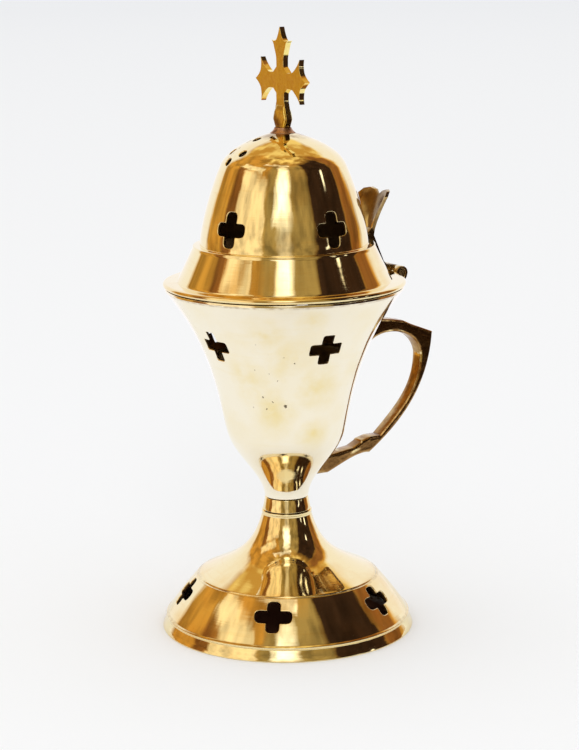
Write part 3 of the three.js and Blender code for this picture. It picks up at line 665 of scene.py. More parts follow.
def pierced_wall(bm, path, wall, start, windows):
    """Makes a pierced turned wall. A window is (middle angle, half angle, low, high, holes)."""
    lengths = arc_lengths(path)
    round_length = 2 * math.pi * FLAT_RADIUS
    rows = round(lengths[-1] / ROW)
    column, row = round_length / COLUMNS, lengths[-1] / rows
    grid = bmesh.ops.create_grid(bm, x_segments=COLUMNS, y_segments=rows, size=0.5)
    bmesh.ops.scale(bm, vec=(round_length, lengths[-1], 1), verts=grid["verts"])
    bmesh.ops.translate(bm, vec=(round_length / 2, lengths[-1] / 2, 0), verts=grid["verts"])
    back = bmesh.ops.duplicate(bm, geom=bm.verts[:] + bm.edges[:] + bm.faces[:])["geom"]
    bmesh.ops.translate(bm, vec=(0, 0, -wall), verts=[v for v in back if isinstance(v, bmesh.types.BMVert)])
    bmesh.ops.reverse_faces(bm, faces=[f for f in back if isinstance(f, bmesh.types.BMFace)])
    cleared, tiles = set(), []
    for middle, half, low, high, holes in windows:
        flat_middle = math.radians((middle - start) % 360) * FLAT_RADIUS
        flat_half = math.radians(half) * FLAT_RADIUS
        left = math.floor((flat_middle - flat_half) / column) * column
        right = math.ceil((flat_middle + flat_half) / column) * column
        bottom = max(math.floor(low / row), 0) * row
        top = min(math.ceil(high / row), rows) * row
        placed = [(flat_middle + math.radians(turn) * FLAT_RADIUS, y, outline) for turn, y, outline in holes]
        tiles.append(make_window((left, right, bottom, top), placed, wall, path, lengths, (column, row)))
        for face in bm.faces:
            place = face.calc_center_median()
            if left < place.x < right and bottom < place.y < top:
                cleared.add(face)
    bmesh.ops.delete(bm, geom=list(cleared), context="FACES")
    for tile in tiles:
        join(bm, tile)
    bend_round(bm, path, lengths, wall, start)
    bmesh.ops.remove_doubles(bm, verts=bm.verts, dist=MERGE)


def wall_edge(path, wall, last):
    """Where the outside and the inside of a wall end, for the plain part that carries on from it."""
    lengths = arc_lengths(path)
    place, _, outward = follow(path, lengths, lengths[-1] if last else 0.0)
    return tuple(place), tuple(place - outward * wall)


# %% [markdown]
# One outline serves all the crosses: four like arms with rounded ends, and a small radius in each inner
# corner, as a saw and a file leave it. A ring of crosses is one window for each, spaced one by one. The size
# of a cross is its width, its height, the width of an arm and how far the ends are rounded, and the gaps from
# one cross to the next are in degrees.

# %% Crosses and their ring
INNER_CORNER = 0.35
WINDOW_MARGIN = 1.0


def cross_outline(wide, tall, arm, rounding):
    w, h, a = wide / 2, tall / 2, arm / 2
    corners = [(w, -a, rounding), (w, a, rounding), (a, a, INNER_CORNER), (a, h, rounding),
               (-a, h, rounding), (-a, a, INNER_CORNER), (-w, a, rounding), (-w, -a, rounding),
               (-a, -a, INNER_CORNER), (-a, -h, rounding), (a, -h, rounding), (a, -a, INNER_CORNER)]
    return soften(corners, closed=True)


def ring_of_crosses(path, height, size, first, gaps):
    """A window with a cross in it for each gap, all at one height. Angles are in degrees."""
    wide, tall, arm, rounding = size
    lengths = arc_lengths(path)
    middle = length_at(path, lengths, 1, height)
    radius = follow(path, lengths, middle)[0].x
    half = math.degrees((wide / 2 + WINDOW_MARGIN) / (radius - tall / 4))
    low, high = middle - tall / 2 - WINDOW_MARGIN, middle + tall / 2 + WINDOW_MARGIN
    windows = []
    angle = first
    for gap in gaps:
        windows.append((angle, half, low, high, [(0.0, middle, cross_outline(wide, tall, arm, rounding))]))
        angle += gap
    return windows


# %% [markdown]
# Polished brass is a metal of one pale yellow colour. What makes it real is small: the fine lines that the
# polishing wheel leaves round the piece, a slow waviness of the sheet, places that are a little duller, and
# brown tarnish where a cloth does not reach. A ready texture would stretch on a dome, so noise makes them
# all. The lines follow the turning: their noise is fast along the outline, and slow round the axis.

# %% Noise that follows the turning
def place_about_axis(tree):
    place = add(tree, "TexCoord").outputs["Object"]
    centred = add(tree, "VectorMath", {0: place, 1: (AXIS_X, 0, 0)}, operation="SUBTRACT").outputs[0]
    split = add(tree, "SeparateXYZ", {0: centred})
    flat = add(tree, "CombineXYZ", {0: split.outputs[0], 1: split.outputs[1]}).outputs[0]
    radius = add(tree, "VectorMath", {0: flat}, operation="LENGTH").outputs["Value"]
    heading = add(tree, "VectorMath", {0: flat}, operation="NORMALIZE").outputs[0]
    return centred, split.outputs[2], radius, heading


def wheel_lines(tree, height, radius, heading, per_metre, slowness):
    """Noise that changes fast along the outline and slowly round the axis."""
    turn = add(tree, "SeparateXYZ", {0: heading})
    coordinates = add(tree, "CombineXYZ", {
        0: sum_of(tree, "MULTIPLY", turn.outputs[0], slowness),
        1: sum_of(tree, "MULTIPLY", turn.outputs[1], slowness),
        2: sum_of(tree, "MULTIPLY", height, per_metre),
    }).outputs[0]
    outwards = sum_of(tree, "MULTIPLY", radius, per_metre)
    inputs = {"Vector": coordinates, "W": outwards, "Scale": 1.0, "Detail": 2.0}
    return add(tree, "TexNoise", inputs, noise_dimensions="4D").outputs["Fac"]


# %% [markdown]
# Age shows in single places. Tarnish and pits are spots that are placed one by one, since a random noise
# would put them anywhere. Each is a ball about a point, with its edge shaken by a fine noise. Grime lies in
# bands, where a groove or a joint kept the cloth away.

# %% Spots and bands
SPOT_SHAKE = 0.0016
BROWN = (0.30, 0.16, 0.05)


def spots(tree, place, places, core):
    """A mask for (angle, height, radius from axis, size) spots, full over the core's share of their size."""
    ragged = add(tree, "TexNoise", {"Vector": place, "Scale": 900.0, "Detail": 3.0}).outputs["Color"]
    nudge = add(tree, "VectorMath", {0: ragged, 1: (0.5, 0.5, 0.5)}, operation="SUBTRACT").outputs[0]
    inputs = {0: nudge, 1: (SPOT_SHAKE, SPOT_SHAKE, SPOT_SHAKE), 2: place}
    shaken = add(tree, "VectorMath", inputs, operation="MULTIPLY_ADD").outputs[0]
    total = None
    for angle, height, radius, size in places:
        turn = math.radians(angle)
        centre = (radius * math.cos(turn) * MM, radius * math.sin(turn) * MM, height * MM)
        distance = add(tree, "VectorMath", {0: shaken, 1: centre}, operation="DISTANCE").outputs["Value"]
        one = remap(tree, distance, size * MM, size * MM * core)
        total = one if total is None else sum_of(tree, "MAXIMUM", total, one)
    return total


def add_grime(tree, colour, place, height, bands):
    """Brown specks between pairs of heights in millimetres, thickest in the middle."""
    specks = remap(tree, noise(tree, place, 420.0, 4.0), 0.35, 0.6)
    for low, high, strength in bands:
        middle, half = (low + high) / 2, (high - low) / 2
        off = sum_of(tree, "ABSOLUTE", sum_of(tree, "SUBTRACT", height, middle * MM))
        band = remap(tree, off, half * MM, half * MM * 0.3, 0.0, strength)
        colour = mix(tree, sum_of(tree, "MULTIPLY", band, specks), colour, BROWN)
    return colour


# %% [markdown]
# Nobody polishes the inside, which faces the axis, or the sides of the crosses, so the brass there is dark
# and dull. Its dark brown is partly the metal that no wheel reached and partly a painted shade for the dim
# hollow inside the foot and the cup. Two materials on one piece would need a sharp border, so one material
# asks which way the surface faces, and how deep it lies in a hole. Then all the layers come together, from
# the plain metal to the bumps.

# %% Polished brass
BRASS = (0.91, 0.77, 0.44)
WARM = (0.86, 0.62, 0.27)
TARNISH = (0.89, 0.71, 0.27)
PIT = (0.06, 0.035, 0.015)
# Dark browns for the inside: partly dull metal, partly painted shade.
UNPOLISHED_AND_SHADED_DARK = (0.10, 0.05, 0.02)
UNPOLISHED_AND_SHADED_LIGHT = (0.34, 0.20, 0.08)
FINE_LINES, BROAD_LINES = 2800, 700
SHEET_WAVES, FINE_GROOVES, BROAD_GROOVES = 0.0003, 0.0000035, 0.000008


def unpolished_and_shaded(tree, heading):
    """A mask of the places that the wheel can't reach, which also get a painted shade."""
    facing = add(tree, "VectorMath", {0: add(tree, "TexCoord").outputs["Normal"], 1: heading},
                 operation="DOT_PRODUCT").outputs["Value"]
    cut = add(tree, "Attribute", attribute_name="cut_side").outputs["Fac"]
    return sum_of(tree, "MAXIMUM", remap(tree, facing, -0.05, -0.15), remap(tree, cut, 0.75, 1.0))


def bump(tree, height, distance, strength=1.0, before=None):
    """Roughens the surface by a height, on top of the bump before it."""
    inputs = {"Strength": strength, "Distance": distance, "Height": height}
    if before is not None:
        inputs["Normal"] = before
    return add(tree, "Bump", inputs).outputs[0]


def connect(tree, shader, colour, rough, normal):
    for key, socket in (("Base Color", colour), ("Roughness", rough), ("Normal", normal)):
        tree.links.new(socket, shader.inputs[key])


def add_tarnish(tree, colour, place, places):
    faint = sum_of(tree, "POWER", spots(tree, place, places, core=0.0), 1.3)
    uneven = remap(tree, noise(tree, place, 110.0, 5.0), 0.38, 0.6, 0.25)
    faint = sum_of(tree, "MULTIPLY", faint, uneven)
    return mix(tree, sum_of(tree, "MULTIPLY", faint, 0.9), colour, TARNISH)


def spun_brass(name, base, warm, shine, grime, tarnish=(), pits=()):
    material, tree, shader = new_material(name, {"Metallic": 1.0})
    place, height, radius, heading = place_about_axis(tree)
    fine = wheel_lines(tree, height, radius, heading, FINE_LINES, 3.0)
    broad = wheel_lines(tree, height, radius, heading, BROAD_LINES, 1.6)
    cloud = noise(tree, place, 60.0, 5.0)
    patch = remap(tree, cloud, 0.48, 0.72)
    colour = mix(tree, patch, base, warm)
    colour = mix(tree, remap(tree, broad, 0.55, 0.75, 0.0, 0.35), colour, warm)
    if tarnish:
        colour = add_tarnish(tree, colour, place, tarnish)
    colour = add_grime(tree, colour, place, height, grime)
    rough = remap(tree, fine, 0.3, 0.7, shine, shine + 0.05)
    rough = sum_of(tree, "MULTIPLY_ADD", patch, 0.03, rough)
    inside = unpolished_and_shaded(tree, heading)
    # Those places turn dark brown: partly the dull metal there, partly a painted shade for the dim hollow
    # inside.
    colour = mix(tree, inside, colour, mix(tree, cloud, UNPOLISHED_AND_SHADED_DARK, UNPOLISHED_AND_SHADED_LIGHT))
    rough = sum_of(tree, "MULTIPLY_ADD", inside, 0.32, rough)
    if pits:
        holes = spots(tree, place, pits, core=0.55)
        colour = mix(tree, sum_of(tree, "MULTIPLY", holes, 0.85), colour, PIT)
        rough = sum_of(tree, "MULTIPLY_ADD", holes, 0.4, rough)
    normal = bump(tree, noise(tree, place, 45.0, 2.0), SHEET_WAVES)
    normal = bump(tree, fine, FINE_GROOVES, before=normal)
    normal = bump(tree, broad, BROAD_GROOVES, before=normal)
    connect(tree, shader, colour, rough, normal)
    return material


POLISHED_GRIME = [(4.2, 5.4, 0.35), (17.2, 18.4, 0.3), (dome_top - 2.4, dome_top + 0.6, 0.75)]
polished = spun_brass("polished_brass", BRASS, WARM, shine=0.02, grime=POLISHED_GRIME)
print("materials", len(bpy.data.materials))

# %% [markdown]
# The foot is a bell spun from one sheet. Its rim is a turned band with a bead on top, the bell carries five
# pierced crosses, a groove marks the shoulder, and the flare draws up into the neck under the collar. Only
# the bell is made as a pierced wall. The rim and the flare have no holes, so their outlines are spun, inside
# and outside in one line, and joined to the two edges of the bell.

# %% Foot
FOOT_WALL = 1.3
SHOULDER = (30.6, 17.6)
NECK = (8.25, 39.0)
BELL_FOOT = (40.4, 5.1)
STEM_HOLE = 2.7
FOOT_CROSS = (12.4, 10.8, 4.3, 1.9)
FOOT_CROSS_HEIGHT = 12.8
FOOT_GAPS = (67, 73.3, 73.3, 73.3, 73.1)
FOOT_FIRST = -128


def make_foot():
    bell = quadratic(BELL_FOOT, (36.35, 11.1), SHOULDER, 60)
    start = FOOT_FIRST - FOOT_GAPS[-1] / 2
    bm = bmesh.new()
    pierced_wall(bm, bell, FOOT_WALL, start,
                 ring_of_crosses(bell, FOOT_CROSS_HEIGHT, FOOT_CROSS, FOOT_FIRST, FOOT_GAPS))
    outer, inner = wall_edge(bell, FOOT_WALL, last=False)
    rim = soften([inner, (39.7, 3.4, 0.6), (40.6, 0, 0.2), (foot_radius, 0, 0.3), (41.75, 1.7, 1.2),
                  (40.78, 3.7, 0.25), (41.12, 4.05, 0.2), (41.12, 4.55, 0.3), (40.55, 4.95, 0.1), outer])
    spin(bm, rim, start)
    outer, inner = wall_edge(bell, FOOT_WALL, last=True)
    flare = curve((30.1, 17.95), [(-10.9, 5.2), (3.2, -13.4)], NECK, 56)
    inside = shifted(flare, FOOT_WALL)[3:-1]
    groove = soften([outer, (30.25, 17.72, 0.1), (30.0, 17.8, 0.05), flare[0]])
    flange = soften([NECK, (8.42, 39.15, 0.1), (8.42, foot_top, 0.15), (STEM_HOLE, foot_top, 0.1),
                     (STEM_HOLE, foot_top - FOOT_WALL, 0.1), (6.95, foot_top - FOOT_WALL, 0.5), inside[-1]])
    spin(bm, groove[:-1] + flare[:-1] + flange[:-1] + inside[::-1] + [inner], start)
    tidy(bm)
    settle(bm, "spun_foot", "base", polished, ["foot_shell"])


make_foot()

# %% [markdown]
# The collar is a plain ring that spaces the cup off the foot, turned a little wider at its base. A cone would
# have knife edges, so its outline is drawn closed, softened at the corners and spun.

# %% Collar
COLLAR_TAPER = 0.8


def make_collar():
    bm = bmesh.new()
    outline = soften([(STEM_HOLE, collar_base, 0.1), (collar_radius + COLLAR_TAPER, collar_base, 0.1),
                      (collar_radius, collar_top, 0.2), (STEM_HOLE, collar_top, 0.1)], closed=True)
    spin(bm, outline, closed=True)
    tidy(bm)
    settle(bm, "stem_ring", "base", polished, ["stem_collar"])


make_collar()

# %% [markdown]
# The cup is of a paler brass than the foot and the lid. Years of use left faint yellow patches and a few dark
# pits in it, and they are placed one by one, at the angles and heights where the photograph shows them. Each
# is an angle in degrees, a height, a radius from the axis and a size. It is the same metal with other
# colours, so the same function makes it.

# %% Pale brass of the cup
CUP_TARNISH = [(-132, 105, 33.5, 10.0), (-147, 90, 25.5, 9.0), (-149, 84, 24.0, 7.0), (-116, 96, 28.0, 11.0),
               (-98, 86, 24.0, 12.0), (-128, 78, 22.5, 12.0), (-95, 70, 20.2, 8.0), (-106, 109, 36.0, 7.0)]
CUP_PITS = [(-138, 101.5, 30.9, 0.30), (-131, 98, 29.2, 0.35), (-125, 97, 28.8, 0.30),
            (-121, 97, 28.6, 0.42), (-142, 92.5, 26.4, 0.30), (-132, 91.5, 26.1, 0.40),
            (-114, 95, 27.5, 0.35), (-138, 83, 23.5, 0.42), (-131, 81.5, 23.1, 0.35),
            (-120, 80, 22.6, 0.75), (-148, 79.5, 22.5, 0.30), (-136, 79, 22.4, 0.32),
            (-126, 89, 25.2, 0.28), (-134, 96, 28.3, 0.28), (-129, 94, 27.4, 0.28)]
CUP_GRIME = [(114.3, 115.3, 0.45)]
PALE = (0.97, 0.90, 0.73)
PALE_WARM = (0.95, 0.85, 0.61)
pale = spun_brass("pale_brass", PALE, PALE_WARM, shine=0.04, grime=CUP_GRIME, tarnish=CUP_TARNISH,
                  pits=CUP_PITS)
print("patches", len(CUP_TARNISH), "pits", len(CUP_PITS))

# %% [markdown]
# The cup climbs from its small base through a waist and flares to a lip that is rolled outwards. The wall
# is pierced below the lip, and its floor is thick where the stem's bolt pulls it down on the collar. The side
# is one smooth line from base to lip, because the handle is fitted to it later.

# %% Cup
SHEET = 1.1
CUP_FLOOR = 3.2
CUP_FOOT = 7.3
CUP_MOUTH = 39.3
CUP_LIP = 39.45
CUP_CROSS = (11.2, 11.0, 4.0, 0.8)
CUP_CROSS_RISE = 54.7
BODY_GAPS = (76.5, 71, 71, 71, 70.5)
CUP_FIRST = -170


def cup_side():
    waist = (19.85, cup_base + 23.4)
    bowl = curve((CUP_FOOT, cup_base), [(0.6, 8.3), (-1.65, -8.9)], waist, 40)
    side = curve(waist, [(2.2, 8.25), (-15.5, -19.5)], (CUP_MOUTH, cup_top - 0.9), 70)
    return bowl + side[1:]


def make_cup():
    whole = cup_side()
    floor = cup_base + CUP_FLOOR
    below = [place for place in whole if place[1] < floor]
    wall = whole[len(below):]
    start = CUP_FIRST - BODY_GAPS[-1] / 2
    bm = bmesh.new()
    pierced_wall(bm, wall, SHEET, start,
                 ring_of_crosses(wall, cup_base + CUP_CROSS_RISE, CUP_CROSS, CUP_FIRST, BODY_GAPS))
    outer, inner = wall_edge(wall, SHEET, last=False)
    base = soften([inner, (6.3, floor, 0.3), (STEM_HOLE, floor, 0.1), (STEM_HOLE, cup_base, 0.1),
                   (CUP_FOOT, cup_base, 0.2), below[1]])
    spin(bm, base + below[2:] + [outer], start)
    outer, inner = wall_edge(wall, SHEET, last=True)
    lip = soften([outer, (CUP_LIP, cup_top - 0.75, 0.2), (CUP_LIP, cup_top, 0.25), (38.2, cup_top, 0.35),
                  inner])
    spin(bm, lip, start)
    tidy(bm)
    settle(bm, "spun_cup", "base", pale, ["cup_bowl"])


make_cup()

# %% [markdown]
# The lid has a rolled rim, a short flaring skirt, a small ledge and a tall dome. The dome carries crosses
# too, and four round draught holes near its top, on the side away from the handle. As on the foot, only the
# dome is a pierced wall, and the rest is spun on to it. A bore at the very top takes the cross's tenon. The
# window of a crown hole is given by half of its width and half of its height.

# %% Lid
LID_CROSS = (11.4, 11.7, 4.4, 1.9)
LID_CROSS_RISE = 7.4
LID_FIRST = -160.5
LID_RIM_DEPTH = 1.7
CREASE = 35.4
SKIRT_TOP = 30.0
DOME_RADIUS = 27.7
CROWN_BORE = 1.7
CROWN_HOLE_ANGLE = 174
CROWN_HOLE_RADIUS = 1.5
CROWN_WINDOW = (2.4, 2.3)
HOLE_POINTS = 16
CROWN_HOLES = [(1.1, 0), (4.0, 14), (4.0, -14), (11.3, 0)]
crease_height = lid_base + LID_RIM_DEPTH
ledge_height = crease_height + 11.9
shoulder = (20.5, ledge_height + 26.1)
crown = curve(shoulder, [(-3.1, 7.0), (3.4, 0)], (0, dome_top), 60)


def circle_outline(radius):
    turns = [2 * math.pi * i / HOLE_POINTS for i in range(HOLE_POINTS)]
    return [(radius * math.cos(turn), radius * math.sin(turn)) for turn in turns]


def crown_holes(wall):
    """A window for each draught hole, by how far it lies inside the shoulder and its turn in degrees."""
    lengths = arc_lengths(wall)
    windows = []
    for inward, turned in CROWN_HOLES:
        radius = shoulder[0] - inward
        along = length_at(wall, lengths, 0, radius)
        half = math.degrees(CROWN_WINDOW[0] / radius)
        low, high = along - CROWN_WINDOW[1], along + CROWN_WINDOW[1]
        hole = (0.0, along, circle_outline(CROWN_HOLE_RADIUS))
        windows.append((CROWN_HOLE_ANGLE + turned, half, low, high, [hole]))
    return windows


def lid_rim(inner, outer):
    """The hollow, the rolled rim, the skirt and the ledge in one line, round from inside to outside."""
    bead = LID_RIM_DEPTH / 2
    turns = [math.radians(a) for a in range(-90, 91, 15)]
    roll = [(lid_radius - bead + bead * math.cos(a), lid_base + bead + bead * math.sin(a)) for a in turns]
    skirt_middle = ((CREASE + SKIRT_TOP) / 2 - 0.3, (crease_height + ledge_height) / 2)
    skirt = quadratic((CREASE, crease_height + 0.1), skirt_middle, (SKIRT_TOP, ledge_height - 0.7), 20)
    ledge = soften([skirt[-1], (SKIRT_TOP, ledge_height, 0.35), (DOME_RADIUS + 0.15, ledge_height, 0.12),
                    outer])
    under = shifted(skirt, SHEET)
    hollow = soften([inner, (DOME_RADIUS - SHEET, ledge_height - SHEET, 0.3),
                     (under[-1][0], ledge_height - SHEET, 0.4), under[-2]])
    rim = soften([under[1], (CREASE - SHEET, lid_base, 0.3), roll[0]])
    crease = soften([roll[-1], (CREASE + 0.1, crease_height, 0.15), skirt[0]])
    return hollow[:-1] + under[-2:1:-1] + rim[:-1] + roll[:-1] + crease[:-1] + skirt[:-1] + ledge


def make_lid():
    dome = curve((DOME_RADIUS, ledge_height + 0.15), [(-0.3, 6.4), (3.1, -7.0)], shoulder, 50)
    wall = dome + [place for place in crown[1:] if place[0] > CROWN_BORE + 0.1]
    start = LID_FIRST - BODY_GAPS[-1] / 2
    windows = ring_of_crosses(wall, ledge_height + LID_CROSS_RISE, LID_CROSS, LID_FIRST, BODY_GAPS)
    bm = bmesh.new()
    pierced_wall(bm, wall, SHEET, start, windows + crown_holes(wall))
    outer, inner = wall_edge(wall, SHEET, last=False)
    spin(bm, lid_rim(inner, outer), start)
    outer, inner = wall_edge(wall, SHEET, last=True)
    spin(bm, soften([outer, (CROWN_BORE, dome_top, 0.1), (CROWN_BORE, dome_top - SHEET, 0.1), inner]), start)
    tidy(bm)
    settle(bm, "spun_lid", "lid", polished, ["lid_dome"])


make_lid()

# %% [markdown]
# The dish for the charcoal is plain spun work, dull and sooty. It hangs by its turned-out rim in the cup,
# and six round vents let the ash fall through. The soot is a noise that is darkest in the middle, where the
# charcoal lies. The floor and the wall are one pierced wall, closed in the middle and at the rim.

# %% Sooty brass
DISH_METAL = (0.50, 0.37, 0.18)
DISH_BROWN = (0.26, 0.17, 0.08)
SOOT = (0.05, 0.045, 0.04)
DISH_LINES = 2600


def sooty_brass():
    material, tree, shader = new_material("sooty_brass", {"Metallic": 1.0})
    place, height, radius, heading = place_about_axis(tree)
    lines = wheel_lines(tree, height, radius, heading, DISH_LINES, 3.0)
    cloud = noise(tree, place, 140.0, 6.0)
    towards_middle = remap(tree, radius, 0.008, 0.026, 0.30, -0.25)
    soot = sum_of(tree, "MULTIPLY_ADD", cloud, 1.0, towards_middle)
    colour = ramp(tree, soot, [(0.30, DISH_METAL), (0.5, DISH_BROWN), (0.72, SOOT)])
    rough = remap(tree, soot, 0.3, 0.75, 0.34, 0.8)
    normal = bump(tree, lines, 0.00003, strength=0.7)
    normal = bump(tree, cloud, 0.0001, strength=0.6, before=normal)
    connect(tree, shader, colour, rough, normal)
    return material


sooty = sooty_brass()
print("material", sooty.name)

# %% Dish
DISH_WALL = 0.9
DISH_OVERHANG = 1.6
DISH_LEAN = 4.4
DISH_STEP = 0.5
VENTS = 6
VENT_RADIUS = 2.0
VENT_WINDOW = 2.9
VENT_INSET = 4.8


def divided(path, step):
    """Puts more points on the straight stretches of an outline."""
    dense = []
    for a, b in zip(path, path[1:]):
        count = max(round(math.dist(a, b) / step), 1)
        dense += [tuple(Vector(a).lerp(Vector(b), i / count)) for i in range(count)]
    return dense + [path[-1]]


def make_dish():
    floor_base, rim_top = heights("charcoal_pan")
    rim_radius = widest("charcoal_pan")
    wall_radius = rim_radius - DISH_OVERHANG
    floor_radius = wall_radius - DISH_LEAN
    rim_base = rim_top - DISH_WALL
    path = divided(soften([(3.0, floor_base), (floor_radius - 0.2, floor_base, 1.6),
                           (wall_radius + DISH_WALL / 2, rim_base, 0.5), (rim_radius, rim_base)]), DISH_STEP)
    vent_circle = floor_radius - 2 * DISH_WALL - VENT_INSET
    vent = length_at(path, arc_lengths(path), 0, vent_circle)
    half = math.degrees(VENT_WINDOW / vent_circle)
    hole = (0.0, vent, circle_outline(VENT_RADIUS))
    windows = [(360 / VENTS * (i + 0.5), half, vent - VENT_WINDOW, vent + VENT_WINDOW, [hole])
               for i in range(VENTS)]
    bm = bmesh.new()
    pierced_wall(bm, path, DISH_WALL, 0.0, windows)
    for place in wall_edge(path, DISH_WALL, last=False):
        spin(bm, [place, (0.0, place[1])])
    outer, inner = wall_edge(path, DISH_WALL, last=True)
    spin(bm, soften([outer, ((outer[0] + inner[0]) / 2 + 0.001, (outer[1] + inner[1]) / 2), inner]))
    tidy(bm)
    settle(bm, "coal_dish", "dish", sooty, ["charcoal_pan"])


make_dish()

# %% [markdown]
# The handle, the lever and the hinge are castings, filed by hand. Their hollows stay brown, and their edges
# are rubbed bright. The wear could be painted by hand, but the Pointiness of the surface already tells the
# shader which is which. The cross is brass plate with the same wear. Its foot was heated when it was soldered
# on, and is stained brown up to a height.

# %% Cast brass
WEAR_STOPS = (0.45, 0.52, 0.59)
WEAR_GLOSS = (0.46, 0.58)
HEAT_STAIN = (0.20, 0.09, 0.04)


def cast_brass(name, hollow, face, edge, roughness, waves=0.00016, stain=None):
    material, tree, shader = new_material(name, {"Metallic": 1.0})
    place = add(tree, "TexCoord").outputs["Object"]
    grain = noise(tree, place, 700.0, 6.0)
    cloud = noise(tree, place, 170.0, 4.0)
    point = add(tree, "NewGeometry").outputs["Pointiness"]
    worn = sum_of(tree, "MULTIPLY_ADD", sum_of(tree, "SUBTRACT", cloud, 0.5), 0.10, point)
    colour = ramp(tree, worn, list(zip(WEAR_STOPS, (hollow, face, edge))))
    colour = mix(tree, remap(tree, grain, 0.35, 0.7, 0.0, 0.45), colour, hollow)
    if stain:
        height = add(tree, "SeparateXYZ", {0: place}).outputs[2]
        low_down = remap(tree, height, stain[1] * MM, stain[0] * MM)
        patches = remap(tree, cloud, 0.40, 0.56)
        colour = mix(tree, sum_of(tree, "MULTIPLY", low_down, patches), colour, HEAT_STAIN)
    rough = remap(tree, worn, *WEAR_GLOSS, roughness + 0.12, roughness - 0.10)
    normal = bump(tree, grain, 0.000016, strength=0.8)
    normal = bump(tree, cloud, waves, strength=0.8, before=normal)
    connect(tree, shader, colour, rough, normal)
    return material


cast = cast_brass("cast_brass", hollow=(0.09, 0.035, 0.014), face=(0.40, 0.22, 0.07), edge=(1.0, 0.82, 0.42),
                  roughness=0.14, waves=0.0003)
# The lever's copy of the cast finish is darker all over: a painted shade, so that the leaf looks dimmer than
# the handle.
shaded_lever_brass = cast_brass("shaded_lever_brass", hollow=(0.10, 0.055, 0.02), face=(0.30, 0.19, 0.07),
                         edge=(0.80, 0.58, 0.25), roughness=0.20)
cut_brass = cast_brass("gold_brass", hollow=(0.80, 0.51, 0.11), face=(1.0, 0.85, 0.24),
                       edge=(1.0, 0.87, 0.50), roughness=0.14, stain=(dome_top + 2, dome_top + 11))
print("materials", len(bpy.data.materials))

# %% [markdown]
# A flat casting is an outline in the plane of the handle, given its width and then bevelled all round. A
# curve object with a bevel would be quicker, but this way the broad faces can be divided, so that the shader
# can tell an edge from a face. One segment leaves a filed edge, and three leave a rounded one.

# %% Flat castings
def flat_casting(outline, width, bevel, segments):
    """A new mesh: an outline with a width about its plane and bevelled edges."""
    bm = bmesh.new()
    verts = [bm.verts.new((x, -width / 2, z)) for x, z in outline]
    face = bm.faces.new(verts)
    made = bmesh.ops.extrude_face_region(bm, geom=[face])["geom"]
    moved = [item for item in made if isinstance(item, bmesh.types.BMVert)]
    bmesh.ops.translate(bm, vec=(0, width, 0), verts=moved)
    faces = {f for v in verts + moved for f in v.link_faces}
    bmesh.ops.recalc_face_normals(bm, faces=list(faces))
    rims = {e for f in faces if len(f.verts) > 4 for e in f.edges}
    bmesh.ops.bevel(bm, geom=list(rims), offset=bevel, segments=segments, profile=0.5, affect="EDGES",
                    material=-1, clamp_overlap=True, loop_slide=False)
    return bm


def slice_up(bm, spacing):
    """Divides a casting by upright and level planes, so that its faces have points to carry wear."""
    bmesh.ops.triangulate(bm, faces=[f for f in bm.faces if len(f.verts) > 4], ngon_method="EAR_CLIP")
    for axis in (0, 2):
        values = [vert.co[axis] for vert in bm.verts]
        low, high = min(values), max(values)
        count = int((high - low) / spacing)
        for i in range(1, count):
            where = Vector((0, 0, 0))
            where[axis] = low + (high - low) * i / count
            facing = Vector((0, 0, 0))
            facing[axis] = 1
            bmesh.ops.bisect_plane(bm, geom=bm.verts[:] + bm.edges[:] + bm.faces[:], dist=MERGE,
                                   plane_co=where, plane_no=facing)


def shade_by_angle(piece, degrees):
    """Keeps the flat faces flat and rounds the bevels."""
    piece.data.set_sharp_from_angle(angle=math.radians(degrees))


# %% [markdown]
# The handle grows out of the cup at the arch and ends on it at the tail. Its outline is drawn from two fixed
# points, the sharp outer corner and the elbow below it. Where it meets the cup it follows the cup's own
# outline, a little inside the wall, so that no gap and no edge shows between them.

# %% Handle
SEAT_DEPTH = 0.45
HANDLE_WIDTH = 5.4
HANDLE_BEVEL = 0.8
HANDLE_SLICES = 1.6
CASTING_SHARP = 28


def handle_outline():
    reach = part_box("handle")[1].x / MM - AXIS_X / MM
    handle_top = heights("handle")[1]
    corner = (reach, handle_top - 6.7)
    elbow = (reach - 25.8, cup_base + 10.9)
    cup_wall = [place for place in shifted(cup_side(), SEAT_DEPTH) if cup_base < place[1] < cup_top]

    def from_corner(x, z):
        return (corner[0] + x, corner[1] + z)

    def from_elbow(x, z):
        return (elbow[0] + x, elbow[1] + z)

    top = [from_corner(-26, 6.6), from_corner(-21, 6.4), from_corner(-16.1, 5.8), from_corner(-11.8, 4.9),
           from_corner(-8.7, 3.4), from_corner(0, 0)]
    outer = curve(corner, [(-1.5, -18.9), (13.9, 9.4)], elbow, 26)
    tail_under = curve(elbow, [(-4.2, 0.9), (6.2, 2.5)], from_elbow(-16.6, -4.85), 10)
    tip_low = min(place[1] for place in cup_wall if place[1] > elbow[1] - 4.8)
    tail_root = [place for place in cup_wall if tip_low <= place[1] <= elbow[1] + 2.3][::5]
    tail_over = [from_elbow(-6.4, 2.5), from_elbow(-3.6, 3.9), from_elbow(-3.0, 4.6), from_elbow(0.5, 5.5),
                 from_elbow(4.4, 5.5)]
    inner_top = from_corner(-5.0, -7.0)
    arch_foot = from_corner(-27.3, -4.4)
    inner = curve(tail_over[-1], [(9.8, 9.1), (0, -12.1)], inner_top, 22)
    arch = curve(inner_top, [(-2.3, 10.9), (1.9, 8.1)], arch_foot, 20)
    root = from_corner(-31.0, -8.4)
    root_wall = [place for place in cup_wall if root[1] < place[1] < handle_top - 0.2][::6]
    tail = tail_under[1:] + tail_root + tail_over
    return top + outer[1:] + tail + inner[1:] + arch[1:] + [root] + root_wall


